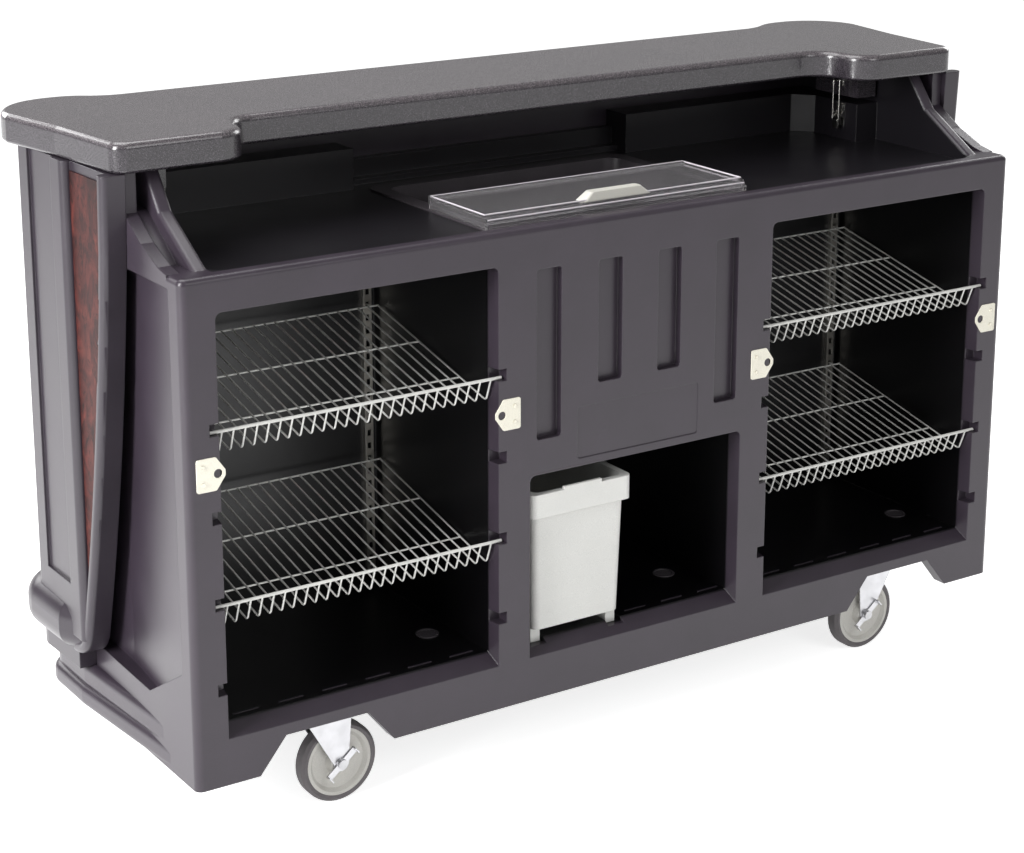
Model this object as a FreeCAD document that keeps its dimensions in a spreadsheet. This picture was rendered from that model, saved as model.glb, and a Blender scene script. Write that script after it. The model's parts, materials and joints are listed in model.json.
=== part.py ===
import FreeCAD, Part
import math
import os
import Sketcher

# Driving sizes in millimetres. Heights are above the floor, depths are measured back from the face frame.
DIMENSIONS = {
    # Whole bar
    "overall_depth": 672.0,
    "face_width": 1840.0,
    "foot_height": 116.0,
    "rim_height": 1016.0,
    "bar_top_height": 1210.0,
    "fit_gap": 0.3,
    "overrun": 5.0,
    # Bar top
    "bar_top_thick": 53.0,
    "bar_top_reach": 66.0,
    "lobe_front_set": 46.0,
    "lobe_front_depth": 190.0,
    "lobe_width": 244.0,
    "lobe_shoulder": 116.0,
    "recess_deep": 116.0,
    "waist_deep": 38.5,
    "lobe_back_set": 136.0,
    "waist_shoulder": 120.0,
    "facet_place": 204.0,
    "facet_set": 27.0,
    "bar_top_corner": 28.0,
    "lobe_back_corner": 120.0,
    "bar_top_edge_round": 12.0,
    "bar_top_lower_round": 6.0,
    # Cabinet body
    "body_depth": 560.0,
    "floor_thick": 34.0,
    "skirt_thick": 30.0,
    "arch_set": 172.0,
    "arch_wide": 164.0,
    "arch_tall": 64.0,
    "arch_slope": 52.0,
    "sill_drop": 21.0,
    "floor_height": 222.0,
    "sill_depth": 30.0,
    "divider_width": 67.0,
    "post_width": 62.0,
    "head_tall": 62.0,
    "bay_back_set": 130.0,
    "bay_corner": 12.0,
    "back_wall": 20.0,
    "back_side": 60.0,
    "centre_half": 242.0,
    "centre_top": 554.0,
    "jamb_bevel": 6.0,
    "face_corner": 14.0,
    "rim_round": 10.0,
    "worktop_drop": 12.0,
    "rim_width": 28.0,
    "worktop_corner": 30.0,
    # Moulded ribs and plaque recess in the centre of the face
    "groove_width": 53.0,
    "groove_set": 14.0,
    "groove_inner": 93.5,
    "groove_head": 16.0,
    "groove_outer_bottom": 621.0,
    "groove_inner_bottom": 708.0,
    "groove_deep": 15.0,
    "plaque_half": 138.0,
    "plaque_bottom": 569.0,
    "plaque_top": 668.0,
    "plaque_deep": 1.5,
    # Rack notches
    "notch_head": 187.0,
    "notch_pitch": 154.0,
    "notch_tall": 22.0,
    "notch_wide": 17.0,
    "notch_deep": 26.0,
    # End walls and plinth
    "end_recess": 6.0,
    "end_recess_back": 26.0,
    "recess_head": 22.0,
    "end_slope_depth": 300.0,
    "end_post": 45.0,
    "end_valley_depth": 180.0,
    "end_valley_height": 238.0,
    "end_valley_front_height": 318.0,
    "plinth_tall": 84.0,
    "plinth_reach": 25.0,
    "plinth_flare_depth": 430.0,
    "plinth_back_set": 8.0,
    "plinth_step": 7.0,
    "plinth_round": 14.0,
    "plinth_corner": 60.0,
    # Cheeks, risers and pedestals around the worktop
    "cheek_thick": 24.0,
    "cheek_wide": 74.0,
    "cheek_rib_width": 28.0,
    "cheek_foot_depth": 48.0,
    "cheek_toe_depth": 79.0,
    "cheek_toe_rise": 6.5,
    "cheek_knee_depth": 142.0,
    "cheek_knee_rise": 33.0,
    "cheek_top_depth": 205.0,
    "cheek_rise": 72.0,
    "cheek_web_setback": 8.0,
    "cheek_slot_depth": 270.0,
    "rib_foot_depth": 43.0,
    "rib_knee_depth": 170.0,
    "rib_rise": 75.0,
    "rib_top_depth": 222.0,
    "rib_round": 8.0,
    "riser_set": 70.0,
    "riser_rise": 68.0,
    "alcove_half": 320.0,
    "ledge_deep": 20.0,
    "ledge_rise": 36.0,
    "pedestal_wide": 89.0,
    "pedestal_notch": 41.0,
    "pedestal_bevel": 33.0,
    "pedestal_long": 133.0,
    "lug_gap": 6.0,
    "lug_drop": 60.0,
    # Customer-side shell
    "shell_front_reach": 27.0,
    "shell_side_reach": 37.0,
    "shell_back_reach": 52.0,
    "shell_rise": 84.5,
    "shell_corner": 62.0,
    "leg_reach": 44.0,
    "leg_wide": 26.0,
    "leg_top_depth": 191.0,
    "leg_shoulder_depth": 198.0,
    "leg_shoulder_rise": 8.0,
    "leg_foot_depth": 343.0,
    "leg_foot_rise": 172.0,
    "leg_bend": 4300.0,
    "leg_toe_long": 69.0,
    "leg_toe_bend": 71.8,
    "leg_heel_long": 34.5,
    "leg_heel_bend": 35.9,
    "leg_round": 11.0,
    "bumper_rise": 120.0,
    "bumper_tall": 98.0,
    "bumper_proud": 29.0,
    "bumper_start": 23.0,
    "bumper_swell": 87.0,
    "bumper_round": 40.0,
    "column_wide": 204.0,
    "column_set": 58.0,
    "column_reach": 48.0,
    "column_round": 14.0,
    "column_rib": 50.0,
    "column_dish": 5.0,
    "column_dish_rise": 40.0,
    "end_panel_gap": 14.0,
    "end_panel_edge": 2.0,
    "panel_thick": 3.0,
    "panel_head": 17.0,
    "panel_foot": 230.0,
    "pier_inner": 390.0,
    "pier_wide": 60.0,
    "pier_proud": 14.0,
    "back_column_set": 81.0,
    "back_column_wide": 110.0,
    # Ice sink, lid and drain
    "sink_half": 278.0,
    "sink_front": 72.0,
    "sink_back_set": 22.0,
    "sink_wall": 10.0,
    "sink_taper": 16.0,
    "sink_deep": 354.0,
    "sink_flange": 20.0,
    "sink_flange_thick": 3.0,
    "sink_rebate": 3.0,
    "sink_corner": 30.0,
    "drain_bore": 19.0,
    "drain_wall": 3.0,
    "drain_flange": 34.0,
    "drain_flange_thick": 3.0,
    "drain_nut": 32.0,
    "drain_nut_thick": 12.0,
    "drain_tail": 18.0,
    "lid_side_reach": 14.0,
    "lid_front_reach": 10.0,
    "lid_deep": 202.0,
    "lid_thick": 4.0,
    "lid_rise": 11.0,
    "lid_rail": 9.0,
    "lid_hump": 4.0,
    "lid_apron": 12.0,
    "handle_inset": 3.0,
    "handle_long": 154.0,
    "handle_top_long": 114.0,
    "handle_deep": 30.0,
    "handle_top_deep": 22.0,
    "handle_tall": 16.0,
    "handle_corner": 7.0,
    # Floor plugs
    "plug_radius": 22.0,
    "plug_ring": 4.0,
    "plug_tall": 4.0,
    "plug_depth": 158.0,
    "plug_side": 30.0,
    # Bin
    "bin_set": 8.0,
    "bin_width": 224.0,
    "bin_deep": 372.0,
    "bin_front": 4.0,
    "bin_height": 297.0,
    "bin_rim_tall": 46.0,
    "bin_rim_step": 10.0,
    "bin_taper": 6.0,
    "bin_wall": 3.0,
    "bin_foot_tall": 20.0,
    "bin_foot_wide": 27.0,
    "bin_foot_long": 60.0,
    "bin_corner": 14.0,
    "bin_scallop_half": 42.0,
    "bin_scallop_drop": 6.0,
    "bin_channel_drop": 9.0,
    "bin_channel_margin": 4.0,
    # Wire racks and their standards
    "rack_wires": 25.0,
    "rack_pitch": 22.0,
    "rail_radius": 3.0,
    "wire_radius": 1.6,
    "rack_lip_tall": 42.0,
    "rack_lip_lean": 16.0,
    "rack_back_rise": 46.0,
    "rack_rail_depth": 12.0,
    "rack_back_gap": 14.0,
    "rack_cross_inset": 120.0,
    "rack_tab_reach": 3.0,
    "standard_width": 18.0,
    "standard_proud": 9.0,
    "standard_wall": 2.0,
    "standard_side": 10.0,
    "standard_rise": 28.0,
    "standard_head": 14.0,
    "slot_wide": 8.0,
    "slot_tall": 12.0,
    "slots_per_pitch": 6.0,
    "slots_above": 5.0,
    "slot_count": 26.0,
    "screw_inset": 12.0,
    "rail_overhang": 12.0,
    "screw_head": 4.0,
    "screw_head_tall": 1.6,
    # Keeper plates
    "plate_post_set": 18.0,
    "plate_divider_set": 45.0,
    "plate_drop": 86.0,
    "plate_shoulder": 36.0,
    "plate_long": 53.0,
    "plate_tall": 58.0,
    "plate_tip_half": 5.0,
    "plate_corner": 4.0,
    "plate_thick": 2.0,
    "plate_hole": 8.0,
    "plate_hole_inset": 39.5,
    "rivet_radius": 3.6,
    "rivet_proud": 1.5,
    "rivet_rise": 15.0,
    "rivet_inset": 12.0,
    # Draw latches
    "latch_shift": 17.0,
    "latch_base_wide": 24.0,
    "latch_base_tall": 50.0,
    "latch_base_thick": 2.0,
    "latch_base_rise": 28.0,
    "latch_ear_reach": 10.0,
    "latch_ear_thick": 1.6,
    "latch_pin_out": 6.0,
    "latch_pin_rise": 24.0,
    "latch_pin_radius": 1.5,
    "latch_lever_long": 28.0,
    "latch_lever_half": 7.5,
    "latch_lever_hub": 3.0,
    "latch_lever_thick": 2.5,
    "latch_bail_wire": 1.3,
    "latch_bail_out": 7.0,
    "latch_bail_down": 10.0,
    "bail_head": 25.0,
    "latch_bail_half": 9.5,
    "latch_stub": 5.0,
    "latch_hook_lip": 2.0,
    "latch_hook_half": 6.0,
    "latch_lip_gap": 0.2,
    "latch_lip_drop": 0.8,
    "latch_screw_side": 6.0,
    "running_gap": 0.05,
    # Casters
    "caster_set": 93.0,
    "caster_front_depth": 60.0,
    "caster_back_set": 120.0,
    "caster_trail": 35.0,
    "wheel_radius": 76.0,
    "wheel_width": 32.0,
    "tread_thick": 12.0,
    "hub_radius": 19.0,
    "hub_width": 37.0,
    "disc_width": 14.0,
    "rim_inset": 2.0,
    "rim_thick": 6.0,
    "leg_gap": 0.5,
    "axle_radius": 5.0,
    "fork_steel": 3.0,
    "fork_top_length": 84.0,
    "fork_tip_radius": 15.0,
    "fork_crown_top": 171.0,
    "race_radius": 27.0,
    "race_tall": 10.0,
    "kingpin_radius": 8.0,
    "kingpin_head": 12.0,
    "kingpin_head_tall": 5.0,
    "caster_plate_thick": 4.0,
    "caster_plate_long": 104.0,
    "caster_plate_wide": 58.0,
    "caster_bolt_inset": 9.0,
    "caster_bolt_head": 6.0,
    "caster_bolt_head_tall": 5.0,
    "axle_head": 9.0,
    "axle_head_tall": 5.0,
    "brake_half_long": 36.0,
    "brake_wide": 12.0,
    "brake_thick": 2.5,
    "brake_pad_long": 14.0,
    "brake_pad_reach": 9.0,
    "brake_hub": 11.0,
    "brake_angle": 40.0,
}

SHEET_NAME = "Sizes"
PLANE_ROLES = {"XY": "XY_Plane", "XZ": "XZ_Plane", "YZ": "YZ_Plane"}
SIDES = {"left": -1, "right": 1}


class Size:
    """A number together with the sheet expression that gives it."""

    def __init__(self, number, text):
        self.number = number
        self.text = text

    def __add__(self, other):
        return Size(self.number + number(other), "(%s + %s)" % (self.text, text(other)))

    def __radd__(self, other):
        return self + other

    def __sub__(self, other):
        return Size(self.number - number(other), "(%s - %s)" % (self.text, text(other)))

    def __rsub__(self, other):
        return Size(number(other) - self.number, "(%s - %s)" % (text(other), self.text))

    def __mul__(self, other):
        return Size(self.number * number(other), "(%s * %s)" % (self.text, text(other)))

    def __rmul__(self, other):
        return self * other

    def __truediv__(self, other):
        return Size(self.number / number(other), "(%s / %s)" % (self.text, text(other)))

    def __neg__(self):
        return Size(-self.number, "(0 - %s)" % self.text)


def number(value):
    return value.number if isinstance(value, Size) else float(value)


def text(value):
    return value.text if isinstance(value, Size) else repr(value)


def bind(item, path, value):
    """Bind a property of a document object to the sheet."""
    item.setExpression(path, text(value))


doc = FreeCAD.newDocument("portable_bar")
sheet = doc.addObject("Spreadsheet::Sheet", SHEET_NAME)
for row, (name, value) in enumerate(DIMENSIONS.items(), start=1):
    sheet.set("A%d" % row, name)
    sheet.set("B%d" % row, str(value))
    sheet.setAlias("B%d" % row, name)
doc.recompute()


class Sizes:
    """Every driving size under its own name."""


d = Sizes()
for name, value in DIMENSIONS.items():
    setattr(d, name, Size(value, "%s.%s" % (SHEET_NAME, name)))

# The origin is on the floor under the middle of the bar, so the face frame is half the depth in front of it.
face = -(d.overall_depth / 2) + d.plate_thick + d.rivet_proud
body_half = d.face_width / 2
top_underside = d.bar_top_height - d.bar_top_thick
worktop = d.rim_height - d.worktop_drop

# Places that follow the sizes of what carries them or lies beside them.
d.lobe_back_depth = d.overall_depth - d.plate_thick - d.rivet_proud
d.bar_top_half_length = body_half + d.bar_top_reach
d.lobe_front_half_length = d.bar_top_half_length - d.lobe_front_set
d.lobe_front_half_width = d.bar_top_half_length - d.lobe_width
d.recess_half_length = d.lobe_front_half_width - d.lobe_shoulder
d.recess_edge_depth = d.lobe_front_depth + d.recess_deep
d.lobe_back_half_length = d.bar_top_half_length - d.lobe_back_set
d.waist_half_length = d.lobe_back_half_length - d.waist_shoulder
d.end_facet_depth = d.lobe_front_depth + d.facet_place
d.end_facet_half_length = d.bar_top_half_length - d.facet_set
d.arch_outer = body_half - d.arch_set
d.arch_inner = d.arch_outer - d.arch_wide
d.arch_top = d.foot_height + d.arch_tall
d.sill_height = d.floor_height - d.sill_drop
d.underside_height = d.floor_height - d.floor_thick
d.bay_inner = d.centre_half + d.divider_width
d.bay_outer = body_half - d.post_width
d.bay_top = d.rim_height - d.head_tall
d.bay_depth = d.body_depth - d.bay_back_set
d.groove_outer = d.centre_half - d.groove_set
d.groove_top = d.bay_top - d.groove_head
d.notch_top = d.bay_top - d.notch_head
d.end_recess_top = d.rim_height - d.recess_head
d.plinth_top = d.foot_height + d.plinth_tall
d.plinth_half_length = body_half + d.plinth_reach
d.shell_back_depth = d.body_depth + d.shell_back_reach
d.shell_front_half = body_half + d.shell_front_reach
d.shell_back_half = body_half + d.shell_side_reach
d.shell_bottom = d.foot_height + d.shell_rise
d.leg_shoulder_height = d.rim_height + d.leg_shoulder_rise
d.leg_foot_height = d.foot_height + d.leg_foot_rise
d.bumper_bottom = d.foot_height + d.bumper_rise
d.bumper_top = d.bumper_bottom + d.bumper_tall
d.back_column_outer = d.shell_back_half - d.back_column_set
d.back_column_inner = d.back_column_outer - d.back_column_wide
d.plinth_back_depth = d.shell_back_depth - d.plinth_back_set
d.cheek_rib_inner = body_half - d.cheek_wide
d.cheek_top_height = d.rim_height + d.cheek_rise
d.rib_knee_height = d.rim_height + d.rib_rise
d.riser_depth = d.body_depth - d.riser_set
d.riser_height = d.rim_height + d.riser_rise
d.alcove_depth = d.body_depth - d.ledge_deep
d.ledge_height = d.rim_height + d.ledge_rise
d.pedestal_inner = d.cheek_rib_inner - d.pedestal_wide
d.pedestal_latch_inner = d.pedestal_inner + d.pedestal_bevel
d.pedestal_latch_depth = d.riser_depth - d.pedestal_notch
d.pedestal_block_depth = d.pedestal_latch_depth - d.pedestal_long
d.column_end = d.shell_back_depth - d.column_set
d.column_start = d.column_end - d.column_wide
d.panel_top = top_underside - d.panel_head
d.panel_bottom = d.foot_height + d.panel_foot
d.pier_outer = d.pier_inner + d.pier_wide
d.sink_back = d.riser_depth - d.sink_back_set
d.sink_floor = worktop - d.sink_deep
d.lid_half = d.sink_half + d.lid_side_reach
d.lid_front = d.sink_front - d.lid_front_reach
d.lid_height = d.rim_height + d.lid_rise
d.bin_left = d.centre_half - d.bin_set
d.standard_bottom = d.floor_height + d.standard_rise
d.standard_top = d.bay_top - d.standard_head
d.plate_outer_back = body_half - d.plate_post_set
d.plate_inner_back = d.bay_inner - d.plate_divider_set
d.plate_middle = d.notch_top - d.plate_drop
d.latch_base_bottom = worktop + d.latch_base_rise
d.latch_bail_top = top_underside - d.bail_head
d.caster_side = d.arch_outer - d.caster_set
d.caster_back_depth = d.body_depth - d.caster_back_set
d.back_edge_depth = d.lobe_back_depth - d.waist_deep

nodes = {}


def depth(distance):
    """Y of a point this far behind the face frame."""
    return face + distance


def keep(name, item):
    """Register a finished sub-part under its node name."""
    item.Label = name
    nodes[name] = item
    return item


def new_body(name):
    return doc.addObject("PartDesign::Body", name)


def new_sketch(body, plane, offset=0):
    """Sketch on one of the body's own origin planes, shifted along that plane's normal."""
    sketch = body.newObject("Sketcher::SketchObject", body.Name + "_sketch")
    for feature in body.Origin.OriginFeatures:
        if feature.Role == PLANE_ROLES[plane]:
            sketch.AttachmentSupport = [(feature, "")]
    sketch.MapMode = "FlatFace"
    bind(sketch, "AttachmentOffset.Base.z", offset)
    return sketch


def arc_centre(start, end, radius):
    """Centre of the shorter arc; a positive radius turns anticlockwise from start to end."""
    chord = end - start
    middle = (start + end) * 0.5
    reach = math.sqrt(max(radius * radius - chord.Length * chord.Length / 4, 0))
    normal = FreeCAD.Vector(-chord.y, chord.x, 0).normalize()
    return middle + normal * math.copysign(reach, radius)


def pin_point(sketch, geometry, position, point):
    """Fix a sketch point by its two coordinates."""
    for axis, value in zip("XY", point):
        if number(value) == 0:
            across = -2 if axis == "X" else -1
            sketch.addConstraint(Sketcher.Constraint("PointOnObject", geometry, position, across))
        else:
            rule = Sketcher.Constraint("Distance" + axis, -1, 1, geometry, position, number(value))
            bind(sketch, "Constraints[%d]" % sketch.addConstraint(rule), value)


def outline(sketch, corners):
    """Closed outline. A corner (x, y) starts a line; (x, y, radius) starts an arc to the next corner."""
    first = sketch.GeometryCount
    count = len(corners)
    points = [FreeCAD.Vector(number(corner[0]), number(corner[1]), 0) for corner in corners]
    ends = []
    for index, corner in enumerate(corners):
        start = points[index]
        end = points[(index + 1) % count]
        if len(corner) == 2:
            sketch.addGeometry(Part.LineSegment(start, end), False)
            ends.append((1, 2))
            continue
        radius = number(corner[2])
        centre = arc_centre(start, end, radius)
        ordered = (start, end) if radius > 0 else (end, start)
        angles = [math.atan2(point.y - centre.y, point.x - centre.x) for point in ordered]
        circle = Part.Circle(centre, FreeCAD.Vector(0, 0, 1), abs(radius))
        sketch.addGeometry(Part.ArcOfCircle(circle, angles[0], angles[1]), False)
        ends.append((1, 2) if radius > 0 else (2, 1))
    for index, corner in enumerate(corners):
        following = (index + 1) % count
        joint = Sketcher.Constraint(
            "Coincident", first + index, ends[index][1], first + following, ends[following][0]
        )
        sketch.addConstraint(joint)
        pin_point(sketch, first + index, ends[index][0], corner[:2])
        if len(corner) > 2:
            radius = corner[2] if number(corner[2]) > 0 else -corner[2]
            rule = Sketcher.Constraint("Radius", first + index, number(radius))
            bind(sketch, "Constraints[%d]" % sketch.addConstraint(rule), radius)
    return sketch


def circle(sketch, x, y, radius):
    where = FreeCAD.Vector(number(x), number(y), 0)
    index = sketch.addGeometry(Part.Circle(where, FreeCAD.Vector(0, 0, 1), number(radius)), False)
    pin_point(sketch, index, 3, (x, y))
    rule = Sketcher.Constraint("Radius", index, number(radius))
    bind(sketch, "Constraints[%d]" % sketch.addConstraint(rule), radius)
    return sketch


def rectangle(sketch, x_low, x_high, y_low, y_high):
    return outline(sketch, [(x_low, y_low), (x_high, y_low), (x_high, y_high), (x_low, y_high)])


def rounded_rectangle(sketch, x_low, x_high, y_low, y_high, radius):
    """Rectangle with four round corners."""
    return outline(sketch, [
        (x_low + radius, y_low),
        (x_high - radius, y_low, radius),
        (x_high, y_low + radius),
        (x_high, y_high - radius, radius),
        (x_high - radius, y_high),
        (x_low + radius, y_high, radius),
        (x_low, y_high - radius),
        (x_low, y_low + radius, radius),
    ])


def extrude(kind, sketch, length, reverse=False, symmetric=False):
    """Pad or Pocket of a sketch."""
    body = sketch.getParentGeoFeatureGroup()
    feature = body.newObject("PartDesign::" + kind, body.Name + "_" + kind.lower())
    feature.Profile = sketch
    bind(feature, "Length", length)
    feature.Reversed = reverse
    if symmetric:
        feature.SideType = "Symmetric"
    return feature


def pad(sketch, length, reverse=False, symmetric=False):
    return extrude("Pad", sketch, length, reverse, symmetric)


def pocket(sketch, length, reverse=False, symmetric=False):
    return extrude("Pocket", sketch, length, reverse, symmetric)


def loft(kind, sketches):
    """Ruled AdditiveLoft or SubtractiveLoft through sketches."""
    body = sketches[0].getParentGeoFeatureGroup()
    feature = body.newObject("PartDesign::" + kind, body.Name + "_loft")
    feature.Profile = sketches[0]
    feature.Sections = sketches[1:]
    feature.Ruled = True
    return feature


def revolve(sketch, kind="Revolution", axis="V_Axis"):
    """Full turn of a sketch about one of its own axes."""
    body = sketch.getParentGeoFeatureGroup()
    feature = body.newObject("PartDesign::" + kind, body.Name + "_turn")
    feature.Profile = sketch
    feature.ReferenceAxis = (sketch, [axis])
    feature.Angle = 360
    return feature


def round_edges(body, radius, wanted, kind="Fillet"):
    """Fillet or chamfer every edge of the body that the test picks."""
    doc.recompute()
    base = body.Tip
    names = ["Edge%d" % (i + 1) for i, edge in enumerate(base.Shape.Edges) if wanted(edge)]
    if not names:
        raise ValueError("no edge found on " + body.Name)
    feature = body.newObject("PartDesign::" + kind, body.Name + "_" + kind.lower())
    feature.Base = (base, names)
    bind(feature, "Radius" if kind == "Fillet" else "Size", radius)
    return feature


def near(value, target, slack=0.01):
    return abs(value - number(target)) < slack


def spans(edge, axis):
    """True for an edge that runs along the named axis only."""
    box = edge.BoundBox
    lengths = {"x": box.XLength, "y": box.YLength, "z": box.ZLength}
    along = lengths.pop(axis)
    return along > 0.5 and max(lengths.values()) < 0.01


def box(name, x, y, z, length, width, height):
    """Part box with its lowest corner at x, y, z."""
    item = doc.addObject("Part::Box", name)
    for path, value in zip(("Length", "Width", "Height"), (length, width, height)):
        bind(item, path, value)
    for path, value in zip("xyz", (x, y, z)):
        bind(item, "Placement.Base." + path, value)
    return item


def cylinder(name, x, y, z, radius, height, along="z"):
    """Part cylinder that starts at x, y, z and runs along an axis."""
    item = doc.addObject("Part::Cylinder", name)
    turns = {
        "z": FreeCAD.Rotation(),
        "y": FreeCAD.Rotation(FreeCAD.Vector(1, 0, 0), -90),
        "x": FreeCAD.Rotation(FreeCAD.Vector(0, 1, 0), 90),
    }
    item.Placement = FreeCAD.Placement(FreeCAD.Vector(), turns[along])
    bind(item, "Radius", radius)
    bind(item, "Height", height)
    for path, value in zip("xyz", (x, y, z)):
        bind(item, "Placement.Base." + path, value)
    return item


def place(item, x, y, z, turned=False):
    """Put a finished body where it belongs, turned half round about Z when asked."""
    if turned:
        item.Placement = FreeCAD.Placement(
            FreeCAD.Vector(), FreeCAD.Rotation(FreeCAD.Vector(0, 0, 1), 180)
        )
    for path, value in zip("xyz", (x, y, z)):
        bind(item, "Placement.Base." + path, value)
    return item


def combine(kind, name, items):
    """Boolean of Part objects: MultiFuse, MultiCommon or Compound of them all, Cut of the first by the second."""
    item = doc.addObject("Part::" + kind, name)
    if kind == "Cut":
        item.Base, item.Tool = items
    elif kind == "Compound":
        item.Links = items
    else:
        item.Shapes = items
    return item


def copy_of(name, master, x, y, z, angle=0):
    """A copy of a finished piece, turned about Z and moved to its place."""
    item = doc.addObject("Part::Compound", name)
    item.Links = [master]
    item.Placement = FreeCAD.Placement(
        FreeCAD.Vector(), FreeCAD.Rotation(FreeCAD.Vector(0, 0, 1), angle)
    )
    for path, value in zip("xyz", (x, y, z)):
        bind(item, "Placement.Base." + path, value)
    return item


def slab(body, x_low, x_high, corners):
    """Pad a side outline, given as depth and height, between two X planes."""
    sketch = outline(new_sketch(body, "YZ", x_low), corners)
    return pad(sketch, x_high - x_low)


def mirrored(corners):
    """The corners of a half plan followed by their mirror images about the middle plane."""
    return corners + [(-x, y) for x, y in reversed(corners)]


# Cabinet body: one rotomoulded piece, put together from its block, plinth, cheeks and risers.

plinth_middle = (d.foot_height + d.plinth_top) / 2


def plinth_tier(name, bottom, top, inset):
    """Bullnose tier that starts inside the face corners and flares towards the back."""
    body = new_body(name)
    side = d.plinth_half_length - inset
    back = depth(d.plinth_back_depth) - inset
    corner = d.plinth_corner
    start = body_half - d.plinth_step
    outline(new_sketch(body, "XY", bottom), [
        (-start, depth(d.face_corner)),
        (start, depth(d.face_corner)),
        (side, depth(d.plinth_flare_depth)),
        (side, back - corner, corner),
        (side - corner, back),
        (-side + corner, back, corner),
        (-side, back - corner),
        (-side, depth(d.plinth_flare_depth)),
    ])
    pad(body.Group[-1], top - bottom)
    round_edges(body, d.plinth_round, lambda edge: edge.BoundBox.ZLength < 0.01)
    return body


lower_tier = plinth_tier("lower_tier", d.foot_height, plinth_middle, 0)
upper_tier = plinth_tier("upper_tier", plinth_middle - d.overrun, d.plinth_top, d.plinth_step)

block = new_body("cabinet_block")
rectangle(new_sketch(block, "XY", d.foot_height), -body_half, body_half, face, depth(d.body_depth))
pad(block.Group[-1], d.rim_height - d.foot_height)
round_edges(block, d.face_corner, lambda edge: spans(edge, "z") and near(edge.BoundBox.YMin, face))
round_edges(block, d.rim_round, lambda edge: near(edge.BoundBox.ZMin, d.rim_height)
            and not near(edge.BoundBox.YMin, depth(d.body_depth)))


def face_opening(x_low, x_high, top, deep):
    """Compartment in the face with a bevelled sill and jambs."""
    mouth = new_sketch(block, "XZ", -face)
    rounded = d.bay_corner
    bevel = d.jamb_bevel
    inner = new_sketch(block, "XZ", -depth(d.sill_depth))
    for sketch, inset, bottom in ((mouth, 0, d.sill_height), (inner, bevel, d.floor_height)):
        outline(sketch, [
            (x_low + inset, bottom),
            (x_high - inset, bottom),
            (x_high - inset, top - rounded, rounded),
            (x_high - inset - rounded, top),
            (x_low + inset + rounded, top, rounded),
            (x_low + inset, top - rounded),
        ])
    loft("SubtractiveLoft", [mouth, inner])
    room = new_sketch(block, "XZ", -depth(d.sill_depth))
    rectangle(room, x_low + bevel, x_high - bevel, d.floor_height, top)
    pocket(room, deep - d.sill_depth)


face_opening(-d.bay_outer, -d.bay_inner, d.bay_top, d.bay_depth)
face_opening(d.bay_inner, d.bay_outer, d.bay_top, d.bay_depth)
face_opening(-d.centre_half, d.centre_half, d.centre_top, d.bay_depth)

# Four moulded grooves, the two outer ones longer, and the bare plaque recess below them.
groove_sketch = new_sketch(block, "XZ", -face)
grooves = (
    (-d.groove_outer, d.groove_outer_bottom),
    (-d.groove_inner, d.groove_inner_bottom),
    (d.groove_inner - d.groove_width, d.groove_inner_bottom),
    (d.groove_outer - d.groove_width, d.groove_outer_bottom),
)
for left, bottom in grooves:
    rounded_rectangle(groove_sketch, left, left + d.groove_width, bottom, d.groove_top, d.bay_corner / 2)
pocket(groove_sketch, d.groove_deep)
plaque = new_sketch(block, "XZ", -face)
rounded_rectangle(plaque, -d.plaque_half, d.plaque_half, d.plaque_bottom, d.plaque_top, d.bay_corner / 2)
pocket(plaque, d.plaque_deep)

# Rack notches beside both edges of each bay, four to an edge; the racks' rails rest in them.
bay_edges = ((-d.bay_outer, -1), (-d.bay_inner, 1), (d.bay_inner, -1), (d.bay_outer, 1))
notch_sketch = new_sketch(block, "XZ", -face)
for edge_x, outward in bay_edges:
    for step in range(4):
        top = d.notch_top - d.notch_pitch * step
        ends = (edge_x - d.jamb_bevel * 2 * outward, edge_x + d.notch_wide * outward)
        low, high = sorted(ends, key=number)
        rectangle(notch_sketch, low, high, top - d.notch_tall, top)
pocket(notch_sketch, d.notch_deep)

# Worktop behind the rim, and the well that takes the ice sink.
counter = new_sketch(block, "XY", d.rim_height)
rounded_rectangle(counter, -d.cheek_rib_inner, d.cheek_rib_inner, depth(d.rim_width),
                  depth(d.riser_depth + d.worktop_corner), d.worktop_corner)
pocket(counter, d.worktop_drop)
well_half = d.sink_half + d.fit_gap
well = new_sketch(block, "XY", worktop)
rectangle(well, -well_half, well_half, depth(d.sink_front - d.fit_gap), depth(d.sink_back + d.fit_gap))
pocket(well, worktop - d.sink_floor + d.fit_gap)
rebate_side = d.sink_flange + d.fit_gap
rebate = new_sketch(block, "XY", worktop)
rounded_rectangle(rebate, -d.sink_half - rebate_side, d.sink_half + rebate_side,
                  depth(d.sink_front - rebate_side), depth(d.sink_back + rebate_side), d.sink_corner + d.fit_gap)
pocket(rebate, d.sink_rebate)

# Channels in the centre compartment's floor for the bin's feet, and shallow seats for the floor plugs.
bin_right = -d.bin_left + d.bin_width
foot_left = -d.bin_left + d.bin_rim_step
foot_right = bin_right - d.bin_rim_step - d.bin_foot_wide
channel_floor = d.floor_height - d.bin_channel_drop
channels = new_sketch(block, "XZ", -face)
for foot in (foot_left, foot_right):
    rectangle(channels, foot - d.bin_channel_margin, foot + d.bin_foot_wide + d.bin_channel_margin,
              channel_floor, d.floor_height + d.overrun)
pocket(channels, d.bin_front + d.bin_deep + d.bin_channel_margin)
plug_places = (
    -d.bay_inner - d.jamb_bevel - d.plug_side - d.plug_radius,
    d.centre_half - d.jamb_bevel - d.plug_side - d.plug_radius,
    d.bay_outer - d.jamb_bevel - d.plug_side - d.plug_radius,
)
plug_seats = new_sketch(block, "XY", d.floor_height)
for x in plug_places:
    circle(plug_seats, x, depth(d.plug_depth), d.plug_radius + d.fit_gap)
pocket(plug_seats, d.plug_tall / 2)

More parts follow.
